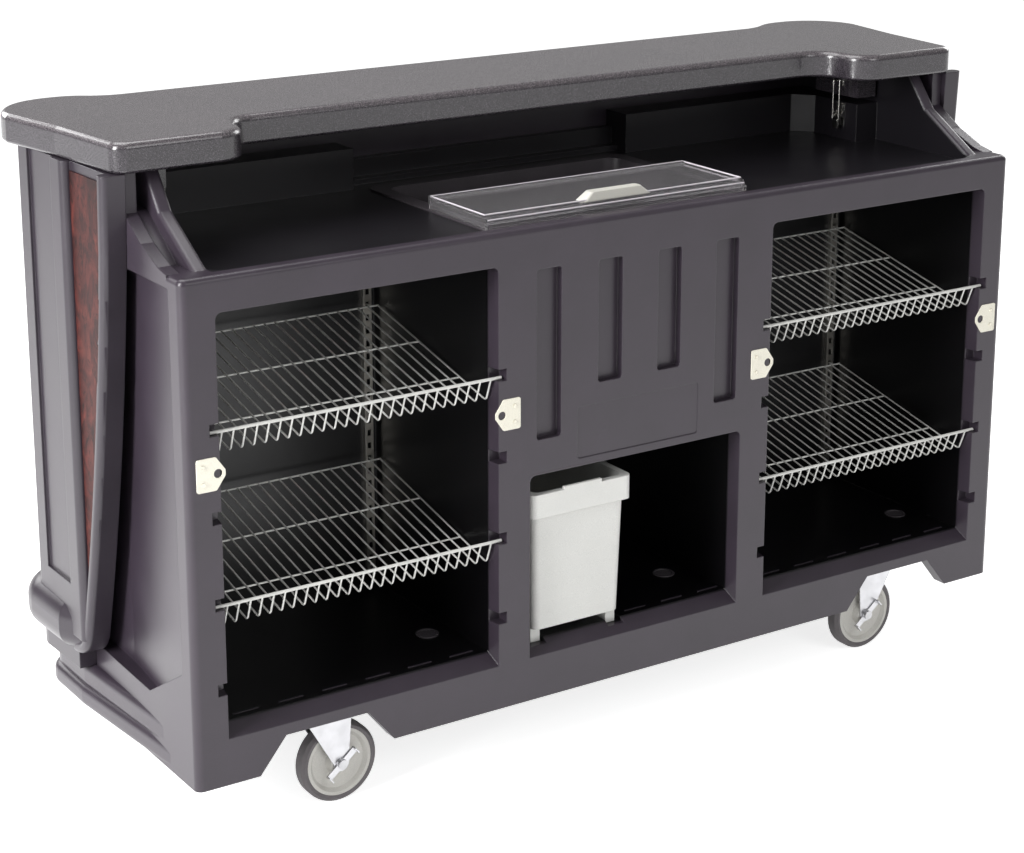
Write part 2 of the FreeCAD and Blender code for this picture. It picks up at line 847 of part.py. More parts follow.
# The moulding is hollow behind the compartments; the customer-side shell closes it.
backs = new_sketch(block, "XZ", -depth(d.body_depth))
sink_side = d.sink_half + d.back_wall
for low, high in ((-body_half + d.back_side, -sink_side), (sink_side, body_half - d.back_side)):
    rectangle(backs, low, high, d.floor_height + d.back_wall * 2, d.bay_top)
pocket(backs, d.body_depth - d.bay_depth - d.back_wall, reverse=True)

cheeks = []
for side_name, side in SIDES.items():
    lower = worktop - d.overrun
    back = depth(d.body_depth)
    bands = (
        ("outer", body_half - d.cheek_thick, body_half, [
            (depth(d.cheek_foot_depth), lower),
            (depth(d.cheek_foot_depth), d.rim_height),
            (depth(d.cheek_toe_depth), d.rim_height + d.cheek_toe_rise),
            (depth(d.cheek_knee_depth), d.rim_height + d.cheek_knee_rise),
            (depth(d.cheek_top_depth), d.cheek_top_height),
            (depth(d.cheek_top_depth), top_underside),
            (back, top_underside),
            (back, lower),
        ]),
        ("web", d.cheek_rib_inner + d.cheek_rib_width, body_half - d.cheek_thick, [
            (depth(d.cheek_toe_depth), lower),
            (depth(d.cheek_knee_depth + d.cheek_web_setback), d.rim_height + d.cheek_knee_rise),
            (depth(d.cheek_top_depth + d.cheek_web_setback), d.cheek_top_height),
            (depth(d.cheek_slot_depth), d.cheek_top_height),
            (depth(d.cheek_slot_depth), top_underside),
            (back, top_underside),
            (back, lower),
        ]),
        ("rib", d.cheek_rib_inner, d.cheek_rib_inner + d.cheek_rib_width, [
            (depth(d.rib_foot_depth), lower),
            (depth(d.rib_foot_depth), d.rim_height),
            (depth(d.rib_knee_depth), d.rib_knee_height),
            (depth(d.rib_top_depth), top_underside),
            (back, top_underside),
            (back, lower),
        ]),
    )
    for band_name, inner, outer, corners in bands:
        band = new_body("cheek_%s_%s" % (band_name, side_name))
        low, high = (inner, outer) if side > 0 else (-outer, -inner)
        slab(band, low, high, corners)
        if band_name == "rib":
            round_edges(band, d.rib_round, lambda edge: edge.BoundBox.YMax < depth(d.rib_top_depth).number + 1
                        and edge.BoundBox.YLength > 1 and edge.BoundBox.XLength < 0.01
                        and edge.BoundBox.ZLength > 1)
        cheeks.append(band)

# Risers and pedestals at the back of the worktop, and the lower ledge of the alcove between them.
riser_bottom = worktop - d.overrun
risers = []
for side_name, side in SIDES.items():
    body = new_body("riser_" + side_name)
    corners = [
        (d.alcove_half, depth(d.riser_depth)),
        (d.pedestal_inner, depth(d.riser_depth)),
        (d.pedestal_latch_inner, depth(d.pedestal_latch_depth)),
        (d.pedestal_latch_inner, depth(d.pedestal_block_depth)),
        (d.cheek_rib_inner + d.overrun, depth(d.pedestal_block_depth)),
        (d.cheek_rib_inner + d.overrun, depth(d.body_depth)),
        (d.alcove_half, depth(d.body_depth)),
    ]
    if side < 0:
        corners = [(-x, y) for x, y in reversed(corners)]
    outline(new_sketch(body, "XY", riser_bottom), corners)
    pad(body.Group[-1], d.riser_height - riser_bottom)
    risers.append(body)
ledge = box("ledge", -d.alcove_half, depth(d.alcove_depth), riser_bottom,
            d.alcove_half * 2, d.body_depth - d.alcove_depth, d.ledge_height - riser_bottom)

# Tools for what is cut through the joined piece: the hollow under the floor, the caster arches in
# the skirt, the drain hole and the end walls' recess with its V-shaped lower edge.
hollow = new_body("under_hollow")
rectangle(new_sketch(hollow, "XY", d.foot_height - d.overrun), -body_half + d.skirt_thick,
          body_half - d.skirt_thick, depth(d.skirt_thick), depth(d.plinth_back_depth - d.skirt_thick))
pad(hollow.Group[-1], d.underside_height - d.foot_height + d.overrun)

arches = []
for side_name, side in SIDES.items():
    body = new_body("arch_" + side_name)
    slope = d.arch_slope * (d.overrun / (d.arch_top - d.foot_height))
    corners = [
        (d.arch_inner - d.arch_slope - slope, d.foot_height - d.overrun),
        (d.arch_outer + d.arch_slope + slope, d.foot_height - d.overrun),
        (d.arch_outer, d.arch_top),
        (d.arch_inner, d.arch_top),
    ]
    if side < 0:
        corners = [(-x, y) for x, y in reversed(corners)]
    outline(new_sketch(body, "XZ", -face + d.overrun), corners)
    pad(body.Group[-1], d.skirt_thick + d.overrun * 2, reverse=True)
    arches.append(body)

drain_outer = d.drain_bore + d.drain_wall
drain_y = depth((d.sink_front + d.sink_back) / 2)
drain_hole = cylinder("drain_hole", 0, drain_y, d.centre_top - d.overrun,
                      drain_outer + d.fit_gap, d.sink_floor - d.centre_top + d.overrun * 2)

end_recesses = []
for side_name, side in SIDES.items():
    plan = new_body("end_recess_plan_" + side_name)
    corners = [
        (body_half + d.overrun, depth(d.end_post)),
        (body_half + d.overrun, depth(d.body_depth + d.overrun)),
        (body_half - d.end_recess_back, depth(d.body_depth + d.overrun)),
        (body_half - d.end_recess_back, depth(d.end_slope_depth)),
        (body_half - d.end_recess, depth(d.end_post)),
    ]
    if side < 0:
        corners = [(-x, y) for x, y in reversed(corners)]
    outline(new_sketch(plan, "XY", d.plinth_top), corners)
    pad(plan.Group[-1], d.end_recess_top - d.plinth_top)
    view = new_body("end_recess_side_" + side_name)
    low = body_half - d.end_recess_back * 2 if side > 0 else -body_half - d.overrun
    slab(view, low, low + d.end_recess_back * 2 + d.overrun, [
        (depth(d.end_post), d.end_valley_front_height),
        (depth(d.end_valley_depth), d.end_valley_height),
        (depth(d.body_depth + d.overrun), d.end_valley_height + d.end_recess * 2),
        (depth(d.body_depth + d.overrun), d.end_recess_top),
        (depth(d.end_post), d.end_recess_top),
    ])
    end_recesses.append(combine("MultiCommon", "end_recess_" + side_name, [plan, view]))

cabinet_solid = combine("MultiFuse", "cabinet_solid", [block, lower_tier, upper_tier, ledge] + cheeks + risers)
cabinet_cuts = combine("MultiFuse", "cabinet_cuts", [hollow, drain_hole] + arches + end_recesses)
cabinet = keep("cabinet_body", combine("Cut", "cabinet", [cabinet_solid, cabinet_cuts]))

# Bar top: a slab with a lobe at each end, swept back over the bartender's worktop between them.


def bend(run, rise):
    """Radius of the arc that starts along the run and rises by the rise."""
    return (run * run + rise * rise) / (rise * 2)


front_run = (d.lobe_front_half_width - d.recess_half_length) / 2
front_rise = (d.recess_edge_depth - d.lobe_front_depth) / 2
front_bend = bend(front_run, front_rise)
back_run = (d.lobe_back_half_length - d.waist_half_length) / 2
back_rise = (d.lobe_back_depth - d.back_edge_depth) / 2
back_bend = bend(back_run, back_rise)
front_middle = (d.lobe_front_half_width - front_run, depth(d.lobe_front_depth + front_rise))
back_middle = (d.lobe_back_half_length - back_run, depth(d.lobe_back_depth - back_rise))
corner = d.bar_top_corner
turn = d.lobe_back_corner

bar_top = new_body("bar_top_slab")
outline(new_sketch(bar_top, "XY", top_underside), [
    (-d.lobe_front_half_length + corner, depth(d.lobe_front_depth)),
    (-d.lobe_front_half_width, depth(d.lobe_front_depth), front_bend),
    (-front_middle[0], front_middle[1], -front_bend),
    (-d.recess_half_length, depth(d.recess_edge_depth)),
    (d.recess_half_length, depth(d.recess_edge_depth), -front_bend),
    (front_middle[0], front_middle[1], front_bend),
    (d.lobe_front_half_width, depth(d.lobe_front_depth)),
    (d.lobe_front_half_length - corner, depth(d.lobe_front_depth), corner),
    (d.lobe_front_half_length, depth(d.lobe_front_depth) + corner),
    (d.end_facet_half_length, depth(d.end_facet_depth)),
    (d.bar_top_half_length, depth(d.lobe_back_depth) - turn, turn),
    (d.bar_top_half_length - turn, depth(d.lobe_back_depth)),
    (d.lobe_back_half_length, depth(d.lobe_back_depth), back_bend),
    (back_middle[0], back_middle[1], -back_bend),
    (d.waist_half_length, depth(d.back_edge_depth)),
    (-d.waist_half_length, depth(d.back_edge_depth), -back_bend),
    (-back_middle[0], back_middle[1], back_bend),
    (-d.lobe_back_half_length, depth(d.lobe_back_depth)),
    (-d.bar_top_half_length + turn, depth(d.lobe_back_depth), turn),
    (-d.bar_top_half_length, depth(d.lobe_back_depth) - turn),
    (-d.end_facet_half_length, depth(d.end_facet_depth)),
    (-d.lobe_front_half_length, depth(d.lobe_front_depth) + corner, corner),
])
pad(bar_top.Group[-1], d.bar_top_thick)
round_edges(bar_top, d.bar_top_edge_round, lambda edge: near(edge.BoundBox.ZMin, d.bar_top_height))
round_edges(bar_top, d.bar_top_lower_round, lambda edge: near(edge.BoundBox.ZMax, top_underside))
for side in SIDES.values():
    lug = new_sketch(bar_top, "XY", top_underside)
    low = d.pedestal_latch_inner if side > 0 else -d.cheek_rib_inner + d.lug_gap
    rectangle(lug, low, low + d.cheek_rib_inner - d.pedestal_latch_inner - d.lug_gap,
              depth(d.pedestal_block_depth), depth(d.pedestal_latch_depth))
    pad(lug, d.lug_drop, reverse=True)
keep("bar_top", bar_top)

# Customer-side shell: back and end walls with swept legs, a bumper, columns and laminate panels.
flare = (d.shell_back_half - d.shell_front_half) / (d.shell_back_depth - d.shell_corner - d.leg_top_depth)


def shell_side(distance):
    """Half width of the shell at this depth along the flared end."""
    return d.shell_front_half + flare * (distance - d.leg_top_depth)


def leg_line(shift, top):
    """Side view of the leg's edge moved back by the shift, from the foot up to the top."""
    return [
        (depth(d.leg_foot_depth + shift), d.leg_foot_height, -d.leg_bend),
        (depth(d.leg_shoulder_depth + shift), d.leg_shoulder_height),
        (depth(d.leg_top_depth + shift), top),
    ]


shell_top = top_underside - d.fit_gap
shell = new_body("shell_walls")
back = depth(d.shell_back_depth)
outline(new_sketch(shell, "XY", d.shell_bottom), [
    (-d.shell_front_half, depth(d.leg_top_depth)),
    (d.shell_front_half, depth(d.leg_top_depth)),
    (d.shell_back_half, back - d.shell_corner, d.shell_corner),
    (d.shell_back_half - d.shell_corner, back),
    (-d.shell_back_half + d.shell_corner, back, d.shell_corner),
    (-d.shell_back_half, back - d.shell_corner),
])
pad(shell.Group[-1], shell_top - d.shell_bottom)
bumper = new_body("bumper")
side = d.shell_back_half + d.bumper_proud
back = depth(d.shell_back_depth + d.bumper_proud)
turn = d.shell_corner + d.bumper_proud
start = d.leg_foot_depth + d.bumper_start
swell = d.leg_foot_depth + d.bumper_swell
outline(new_sketch(bumper, "XY", d.bumper_bottom), [
    (-shell_side(start), depth(start)),
    (shell_side(start), depth(start)),
    (shell_side(swell) + d.bumper_proud, depth(swell)),
    (side, back - turn, turn),
    (side - turn, back),
    (-side + turn, back, turn),
    (-side, back - turn),
    (-shell_side(swell) - d.bumper_proud, depth(swell)),
])
pad(bumper.Group[-1], d.bumper_tall)
round_edges(bumper, d.bumper_round, lambda edge: edge.BoundBox.ZLength < 0.01)
back_low = depth(d.shell_back_depth - d.overrun)
back_high = depth(d.shell_back_depth + d.pier_proud)
piers = new_sketch(shell, "XY", d.bumper_bottom + d.bumper_round)
for low, high in ((d.back_column_inner, d.back_column_outer), (d.pier_inner, d.pier_outer)):
    rectangle(piers, low, high, back_low, back_high)
    rectangle(piers, -high, -low, back_low, back_high)
pad(piers, shell_top - d.bumper_bottom - d.bumper_round)

legs = []
columns = []
toe = d.leg_foot_depth + d.leg_toe_long
for side_name, side in SIDES.items():
    leg = new_body("leg_" + side_name)
    low = body_half + d.fit_gap if side > 0 else -body_half - d.leg_reach
    slab(leg, low, low + d.leg_reach - d.fit_gap, [
        (depth(toe), d.bumper_bottom, -d.leg_toe_bend),
    ] + leg_line(0, shell_top) + [
        (depth(d.leg_top_depth + d.leg_wide), shell_top),
        (depth(d.leg_shoulder_depth + d.leg_wide), d.leg_shoulder_height, d.leg_bend),
        (depth(d.leg_foot_depth + d.leg_wide), d.leg_foot_height, d.leg_heel_bend),
        (depth(d.leg_foot_depth + d.leg_wide + d.leg_heel_long), d.bumper_bottom + d.leg_wide),
    ])
    outer = (body_half + d.leg_reach) * side
    round_edges(leg, d.leg_round, lambda edge: near(edge.CenterOfMass.x, outer)
                and edge.Length > number(d.leg_heel_long))
    legs.append(leg)
    column = new_body("column_" + side_name)
    low = body_half + d.fit_gap if side > 0 else -body_half - d.column_reach
    column_plan = new_sketch(column, "XY", d.bumper_bottom + d.bumper_round)
    rectangle(column_plan, low, low + d.column_reach - d.fit_gap, depth(d.column_start), depth(d.column_end))
    pad(column_plan, shell_top - d.bumper_bottom - d.bumper_round)
    dish_side = body_half + d.column_reach - d.column_dish
    low = dish_side if side > 0 else -dish_side - d.column_dish - d.overrun
    dish = new_sketch(column, "XY", shell_top)
    rectangle(dish, low, low + d.column_dish + d.overrun, depth(d.column_start + d.column_rib),
              depth(d.column_end - d.column_rib))
    pocket(dish, shell_top - d.bumper_top - d.column_dish_rise)
    outer = (body_half + d.column_reach) * side
    round_edges(column, d.column_round, lambda edge: near(edge.CenterOfMass.x, outer)
                and edge.BoundBox.ZLength > 1 and (near(edge.CenterOfMass.y, depth(d.column_start))
                                                   or near(edge.CenterOfMass.y, depth(d.column_end))))
    columns.append(column)

# What lies in front of the legs is cut away, and the inside is left open for the cabinet.
shell_reach = d.shell_back_half + d.bumper_proud * 2
ahead = depth(d.leg_top_depth - d.bumper_proud * 2)
in_front = new_body("in_front_of_legs")
slab(in_front, -shell_reach, shell_reach, [
    (ahead, d.shell_bottom - d.overrun),
    (depth(toe), d.shell_bottom - d.overrun),
    (depth(toe), d.leg_foot_height),
] + leg_line(d.leg_wide / 2, shell_top) + [
    (depth(d.leg_top_depth + d.leg_wide / 2), shell_top + d.overrun),
    (ahead, shell_top + d.overrun),
])
inside = box("shell_inside", -body_half - d.fit_gap, ahead, d.shell_bottom - d.overrun, (body_half + d.fit_gap) * 2,
             depth(d.body_depth + d.fit_gap) - ahead, shell_top - d.shell_bottom + d.overrun * 2)
walls = combine("Cut", "shell_walls_cut", [shell, combine("MultiFuse", "shell_tools", [in_front, inside])])
rail = combine("Cut", "bumper_cut", [bumper, inside])
keep("customer_shell", combine("MultiFuse", "shell_and_legs", [walls, rail] + legs + columns))

for side_name, side in SIDES.items():
    strip = new_body("end_panel_strip_" + side_name)
    near_y = d.leg_top_depth
    far_y = d.column_start - d.end_panel_edge
    corners = [
        (shell_side(near_y), depth(near_y)),
        (shell_side(near_y) + d.panel_thick, depth(near_y)),
        (shell_side(far_y) + d.panel_thick, depth(far_y)),
        (shell_side(far_y), depth(far_y)),
    ]
    if side < 0:
        corners = [(-x, y) for x, y in reversed(corners)]
    outline(new_sketch(strip, "XY", d.panel_bottom), corners)
    pad(strip.Group[-1], d.panel_top - d.panel_bottom)
    edge = d.leg_wide + d.end_panel_edge
    beyond = new_body("behind_leg_" + side_name)
    low = d.shell_front_half - d.overrun if side > 0 else -d.shell_back_half - d.overrun
    slab(beyond, low, low + d.shell_back_half - d.shell_front_half + d.overrun * 2, leg_line(edge, shell_top) + [
        (depth(d.column_end), shell_top),
        (depth(d.column_end), d.leg_foot_height),
    ])
    keep("end_panel_" + side_name, combine("MultiCommon", "end_laminate_" + side_name, [strip, beyond]))

front_panels = (
    ("front_panel_left", -d.back_column_inner + d.end_panel_gap, -d.pier_outer - d.end_panel_gap),
    ("front_panel_centre", -d.pier_inner + d.end_panel_gap, d.pier_inner - d.end_panel_gap),
    ("front_panel_right", d.pier_outer + d.end_panel_gap, d.back_column_inner - d.end_panel_gap),
)
for name, low, high in front_panels:
    body = new_body("laminate_" + name)
    rounded_rectangle(new_sketch(body, "XZ", -depth(d.shell_back_depth + d.panel_thick)),
                      low, high, d.panel_bottom, d.panel_top, d.plate_corner)
    pad(body.Group[-1], d.panel_thick)
    keep(name, body)

# Ice sink, its drain through the floor and the sliding lid on its flange.
sink_top = worktop + d.sink_flange_thick


def sink_plan(sketch, grow, radius):
    return rounded_rectangle(sketch, -d.sink_half - grow, d.sink_half + grow, depth(d.sink_front - grow),
                             depth(d.sink_back + grow), radius)


sink = new_body("basin")
loft("AdditiveLoft", [
    sink_plan(new_sketch(sink, "XY", d.sink_floor), -d.sink_taper, d.sink_corner),
    sink_plan(new_sketch(sink, "XY", worktop), 0, d.sink_corner),
])
flange = sink_plan(new_sketch(sink, "XY", worktop - d.sink_rebate), d.sink_flange, d.sink_corner)
pad(flange, d.sink_rebate + d.sink_flange_thick)
loft("SubtractiveLoft", [
    sink_plan(new_sketch(sink, "XY", sink_top), -d.sink_wall, d.sink_corner),
    sink_plan(new_sketch(sink, "XY", d.sink_floor + d.sink_wall), -d.sink_wall - d.sink_taper, d.sink_corner),
])
drain_seat = circle(new_sketch(sink, "XY", d.sink_floor + d.sink_wall), 0, drain_y, drain_outer + d.fit_gap)
pocket(drain_seat, d.sink_wall + d.overrun)
keep("ice_sink", sink)

drain = new_body("drain")
drain_bottom = d.centre_top - d.drain_tail
drain_top = d.sink_floor + d.sink_wall + d.drain_flange_thick
outline(new_sketch(drain, "XZ", -drain_y), [
    (d.drain_bore, drain_bottom),
    (drain_outer, drain_bottom),
    (drain_outer, drain_top - d.drain_flange_thick),
    (d.drain_flange, drain_top - d.drain_flange_thick),
    (d.drain_flange - d.drain_flange_thick, drain_top),
    (d.drain_bore, drain_top),
])
revolve(drain.Group[-1])
keep("sink_drain_fitting", drain)

nut = new_body("drain_nut_ring")
half_flat = d.drain_nut * math.cos(math.pi / 6)
half_side = d.drain_nut / 2
outline(new_sketch(nut, "XY", d.centre_top - d.drain_nut_thick), [
    (d.drain_nut, drain_y),
    (half_side, drain_y + half_flat),
    (-half_side, drain_y + half_flat),
    (-d.drain_nut, drain_y),
    (-half_side, drain_y - half_flat),
    (half_side, drain_y - half_flat),
])
pad(nut.Group[-1], d.drain_nut_thick)
pocket(circle(new_sketch(nut, "XY", d.centre_top), 0, drain_y, drain_outer + d.fit_gap), d.drain_nut_thick)
keep("sink_drain_nut", nut)

lid = new_body("lid")
lid_bottom = sink_top + d.fit_gap
lid_step = d.lid_height - d.lid_rail
lid_back = d.lid_front + d.lid_deep
hump_top = d.lid_height + d.lid_hump
slab(lid, -d.lid_half, d.lid_half, [
    (depth(d.lid_front), lid_bottom),
    (depth(d.lid_front + d.lid_thick), lid_bottom),
    (depth(d.lid_front + d.lid_thick), lid_step - d.lid_thick),
    (depth(d.lid_front + d.lid_rail + d.lid_thick), lid_step - d.lid_thick),
    (depth(d.lid_front + d.lid_rail + d.lid_thick), d.lid_height - d.lid_thick),
    (depth(lid_back - d.lid_rail - d.lid_thick), d.lid_height - d.lid_thick),
    (depth(lid_back - d.lid_rail), hump_top - d.lid_thick),
    (depth(lid_back - d.lid_thick), hump_top - d.lid_thick),
    (depth(lid_back - d.lid_thick), d.lid_height - d.lid_apron),
    (depth(lid_back), d.lid_height - d.lid_apron),
    (depth(lid_back), hump_top),
    (depth(lid_back - d.lid_rail - d.lid_thick), hump_top),
    (depth(lid_back - d.lid_rail - d.lid_thick * 2), d.lid_height),
    (depth(d.lid_front + d.lid_rail), d.lid_height),
    (depth(d.lid_front + d.lid_rail), lid_step),
    (depth(d.lid_front), lid_step),
])
aprons = new_sketch(lid, "XZ", -depth(d.lid_front + d.lid_rail))
for low in (-d.lid_half, d.lid_half - d.lid_thick):
    rectangle(aprons, low, low + d.lid_thick, lid_bottom, d.lid_height)
pad(aprons, d.lid_deep - d.lid_rail - d.lid_thick, reverse=True)
keep("sliding_lid", lid)

handle = new_body("handle")
handle_middle = depth(d.lid_front + d.lid_rail + d.handle_inset + d.handle_deep / 2)


def handle_plan(height, length, width):
    sketch = new_sketch(handle, "XY", height)
    return rounded_rectangle(sketch, -(length / 2), length / 2, handle_middle - width / 2,
                             handle_middle + width / 2, d.handle_corner)


loft("AdditiveLoft", [
    handle_plan(d.lid_height, d.handle_long, d.handle_deep),
    handle_plan(d.lid_height + d.handle_tall, d.handle_top_long, d.handle_top_deep),
])
keep("lid_handle", handle)

# Cream keeper plates on the face beside the bays, their points over the bay edges, and their rivets.
plate_backs = (
    ("left_outer", -d.plate_outer_back, 1),
    ("left_inner", -d.plate_inner_back, -1),
    ("right_inner", d.plate_inner_back, 1),
    ("right_outer", d.plate_outer_back, -1),
)
plate_low = d.plate_middle - d.plate_tall / 2
plate_high = d.plate_middle + d.plate_tall / 2
rivets = []
for place_name, back_x, way in plate_backs:
    body = new_body("plate_" + place_name)
    corners = [
        (back_x, plate_low),
        (back_x + d.plate_shoulder * way, plate_low),
        (back_x + d.plate_long * way, d.plate_middle - d.plate_tip_half),
        (back_x + d.plate_long * way, d.plate_middle + d.plate_tip_half),
        (back_x + d.plate_shoulder * way, plate_high),
        (back_x, plate_high),
    ]
    if way < 0:
        corners.reverse()
    outline(new_sketch(body, "XZ", -face), corners)
    pad(body.Group[-1], d.plate_thick)
    round_edges(body, d.plate_corner, lambda edge: spans(edge, "y"))
    hole = circle(new_sketch(body, "XZ", -face + d.plate_thick),
                  back_x + d.plate_hole_inset * way, d.plate_middle, d.plate_hole)
    pocket(hole, d.plate_thick)
    keep("keeper_plate_" + place_name, body)
    for rise in (-d.rivet_rise, d.rivet_rise):
        rivets.append(cylinder("rivet", back_x + d.rivet_inset * way, face - d.plate_thick - d.rivet_proud,
                               d.plate_middle + rise, d.rivet_radius, d.rivet_proud, along="y"))
keep("keeper_rivets", combine("Compound", "rivet_set", rivets))

# Perforated standards in the rear corners of the bays, one slot pattern padded from the top rack's tab.
rail_height = d.notch_top - d.notch_tall + d.rail_radius + d.fit_gap
tab_height = rail_height + d.rack_back_rise
slot_pitch = d.notch_pitch / d.slots_per_pitch
standard_places = (
    ("left_outer", -d.bay_outer + d.jamb_bevel + d.standard_side),
    ("left_inner", -d.bay_inner - d.jamb_bevel - d.standard_side - d.standard_width),
    ("right_inner", d.bay_inner + d.jamb_bevel + d.standard_side),
    ("right_outer", d.bay_outer - d.jamb_bevel - d.standard_side - d.standard_width),
)
standard_back = depth(d.bay_depth)
standard_front = standard_back - d.standard_proud
screws = []
for place_name, low in standard_places:
    body = new_body("standard_" + place_name)
    high = low + d.standard_width
    outline(new_sketch(body, "XY", d.standard_bottom), [
        (low, standard_front),
        (high, standard_front),
        (high, standard_back),
        (high - d.standard_wall, standard_back),
        (high - d.standard_wall, standard_front + d.standard_wall),
        (low + d.standard_wall, standard_front + d.standard_wall),
        (low + d.standard_wall, standard_back),
        (low, standard_back),
    ])
    pad(body.Group[-1], d.standard_top - d.standard_bottom)
    slot = new_sketch(body, "XZ", -standard_front)
    slot_low = low + (d.standard_width - d.slot_wide) / 2
    top_slot = tab_height + slot_pitch * d.slots_above
    rectangle(slot, slot_low, slot_low + d.slot_wide, top_slot - d.slot_tall / 2, top_slot + d.slot_tall / 2)
    cut = pocket(slot, d.standard_wall)
    pattern = body.newObject("PartDesign::LinearPattern", body.Name + "_slots")
    pattern.Originals = [cut]
    pattern.Direction = (slot, ["V_Axis"])
    pattern.Reversed = True
    bind(pattern, "Length", slot_pitch * (d.slot_count - 1))
    bind(pattern, "Occurrences", d.slot_count)
    body.Tip = pattern
    keep("rack_standard_" + place_name, body)
    for height in (d.standard_bottom + d.screw_inset, d.standard_top - d.screw_inset):
        screws.append(cylinder("standard_screw", low + d.standard_width / 2, standard_front - d.screw_head_tall,
                               height, d.screw_head, d.screw_head_tall, along="y"))
keep("standard_screws", combine("Compound", "standard_screw_set", screws))

# One can rack: a front rail, bent wires that form the lip and the sloping floor, and cross wires.
rack = new_body("rack")
bay_middle = (d.bay_inner + d.bay_outer) / 2
first_wire = -(d.rack_pitch * (d.rack_wires - 1)) / 2
back_y = d.bay_depth - d.standard_proud - d.rack_back_gap
wire = d.wire_radius
foot_y = d.rack_rail_depth + d.rack_lip_lean
wires = new_sketch(rack, "YZ", first_wire - wire)
outline(wires, [
    (d.rack_rail_depth - wire, 0),
    (foot_y - wire * 2, -d.rack_lip_tall),
    (foot_y - wire, -d.rack_lip_tall - wire),
    (foot_y, -d.rack_lip_tall - wire),
    (back_y, d.rack_back_rise - wire),
    (back_y, d.rack_back_rise + wire),
    (foot_y, -d.rack_lip_tall + wire),
    (d.rack_rail_depth + wire, 0),
])
one_wire = pad(wires, wire * 2)
across = rack.newObject("PartDesign::LinearPattern", "rack_wire_row")
across.Originals = [one_wire]
across.Direction = (wires, ["N_Axis"])
bind(across, "Length", d.rack_pitch * (d.rack_wires - 1))
bind(across, "Occurrences", d.rack_wires)
rack.Tip = across
rail_half = (d.bay_outer - d.bay_inner) / 2 + d.rail_overhang
pad(circle(new_sketch(rack, "YZ", -rail_half), d.rack_rail_depth, 0, d.rail_radius), rail_half * 2)
cross_half = -first_wire + wire
pad(circle(new_sketch(rack, "YZ", -cross_half), back_y, d.rack_back_rise, wire * 1.5), cross_half * 2)
floor_slope = (d.rack_back_rise + d.rack_lip_tall) / (back_y - foot_y)
cross_rise = floor_slope * (d.rack_cross_inset - foot_y) - d.rack_lip_tall - wire * 2
pad(circle(new_sketch(rack, "YZ", -cross_half), d.rack_cross_inset, cross_rise, wire * 1.5), cross_half * 2)
tab_x = (d.bay_outer - d.bay_inner) / 2 - d.jamb_bevel - d.standard_side - d.standard_width / 2
tabs = new_sketch(rack, "XZ", -back_y)
for middle in (-tab_x, tab_x):
    rectangle(tabs, middle - wire, middle + wire, d.rack_back_rise - wire * 1.5, d.rack_back_rise + wire * 1.5)
pad(tabs, d.rack_back_gap + d.rack_tab_reach, reverse=True)

rack_places = (
    ("upper_left", -bay_middle, rail_height),
    ("lower_left", -bay_middle, rail_height - d.notch_pitch * 2),
    ("upper_right", bay_middle, rail_height),
    ("lower_right", bay_middle, rail_height - d.notch_pitch * 2),
)
for place_name, x, z in rack_places:
    keep("rack_" + place_name, copy_of("rack_" + place_name, rack, x, depth(0), z))

# Bin on two pairs of feet that run in the channels.
tub = new_body("tub")
tub_top = d.floor_height + d.bin_height - d.bin_scallop_drop
tub_bottom = d.floor_height + d.bin_foot_tall
rim_bottom = tub_top - d.bin_rim_tall


def tub_plan(height, inset):
    sketch = new_sketch(tub, "XY", height)
    return rounded_rectangle(sketch, -d.bin_left + inset, bin_right - inset, depth(d.bin_front + inset),
                             depth(d.bin_front + d.bin_deep - inset), d.bin_corner)


loft("AdditiveLoft", [
    tub_plan(tub_bottom, d.bin_rim_step + d.bin_taper),
    tub_plan(rim_bottom, d.bin_rim_step),
])
pad(tub_plan(rim_bottom, 0), d.bin_rim_tall)
lug = new_sketch(tub, "XZ", -depth(d.bin_front))
bin_middle = (bin_right - d.bin_left) / 2
rectangle(lug, bin_middle - d.bin_scallop_half, bin_middle + d.bin_scallop_half,
          tub_top - d.overrun, tub_top + d.bin_scallop_drop)
pad(lug, d.bin_wall + d.bin_wall, reverse=True)
feet = new_sketch(tub, "XY", tub_bottom + d.bin_wall)
foot_front = depth(d.bin_front + d.bin_rim_step + d.bin_taper + d.bin_corner)
foot_back = depth(d.bin_front + d.bin_deep - d.bin_rim_step - d.bin_taper - d.bin_corner)
for foot in (foot_left, foot_right):
    inner = foot + d.bin_taper if foot is foot_left else foot
    for low in (foot_front, foot_back - d.bin_foot_long):
        rectangle(feet, inner, inner + d.bin_foot_wide - d.bin_taper, low, low + d.bin_foot_long)
pad(feet, tub_bottom + d.bin_wall - channel_floor - d.fit_gap, reverse=True)
loft("SubtractiveLoft", [
    tub_plan(tub_top, d.bin_rim_step + d.bin_wall),
    tub_plan(tub_bottom + d.bin_wall * 2, d.bin_rim_step + d.bin_taper + d.bin_wall),
])
keep("bin", tub)

# Floor drain plugs.
plugs = []
for index, x in enumerate(plug_places):
    body = new_body("plug_%d" % index)
    plug_low = d.floor_height - d.plug_tall / 2
    pad(circle(new_sketch(body, "XY", plug_low), x, depth(d.plug_depth), d.plug_radius), d.plug_tall)
    hollow_top = circle(new_sketch(body, "XY", plug_low + d.plug_tall), x, depth(d.plug_depth),
                        d.plug_radius - d.plug_ring)
    pocket(hollow_top, d.plug_tall / 2)
    plugs.append(body)
keep("floor_drain_plugs", combine("Compound", "plug_set", plugs))

# Draw latches on the pedestals' inner sides: base, lever, wire bail, and the keeper on the bar top's lug.


def turned_profile(name, corners, half_width, side, middle):
    """Solid from a profile of reach from the pedestal's side and height, spread to both sides of a depth."""
    body = new_body(name)
    points = [((d.pedestal_latch_inner - reach) * side, height) for reach, height in corners]
    if side > 0:
        points.reverse()
    sketch = outline(new_sketch(body, "XZ", -(middle - half_width)), points)
    pad(sketch, half_width * 2, reverse=True)
    return body


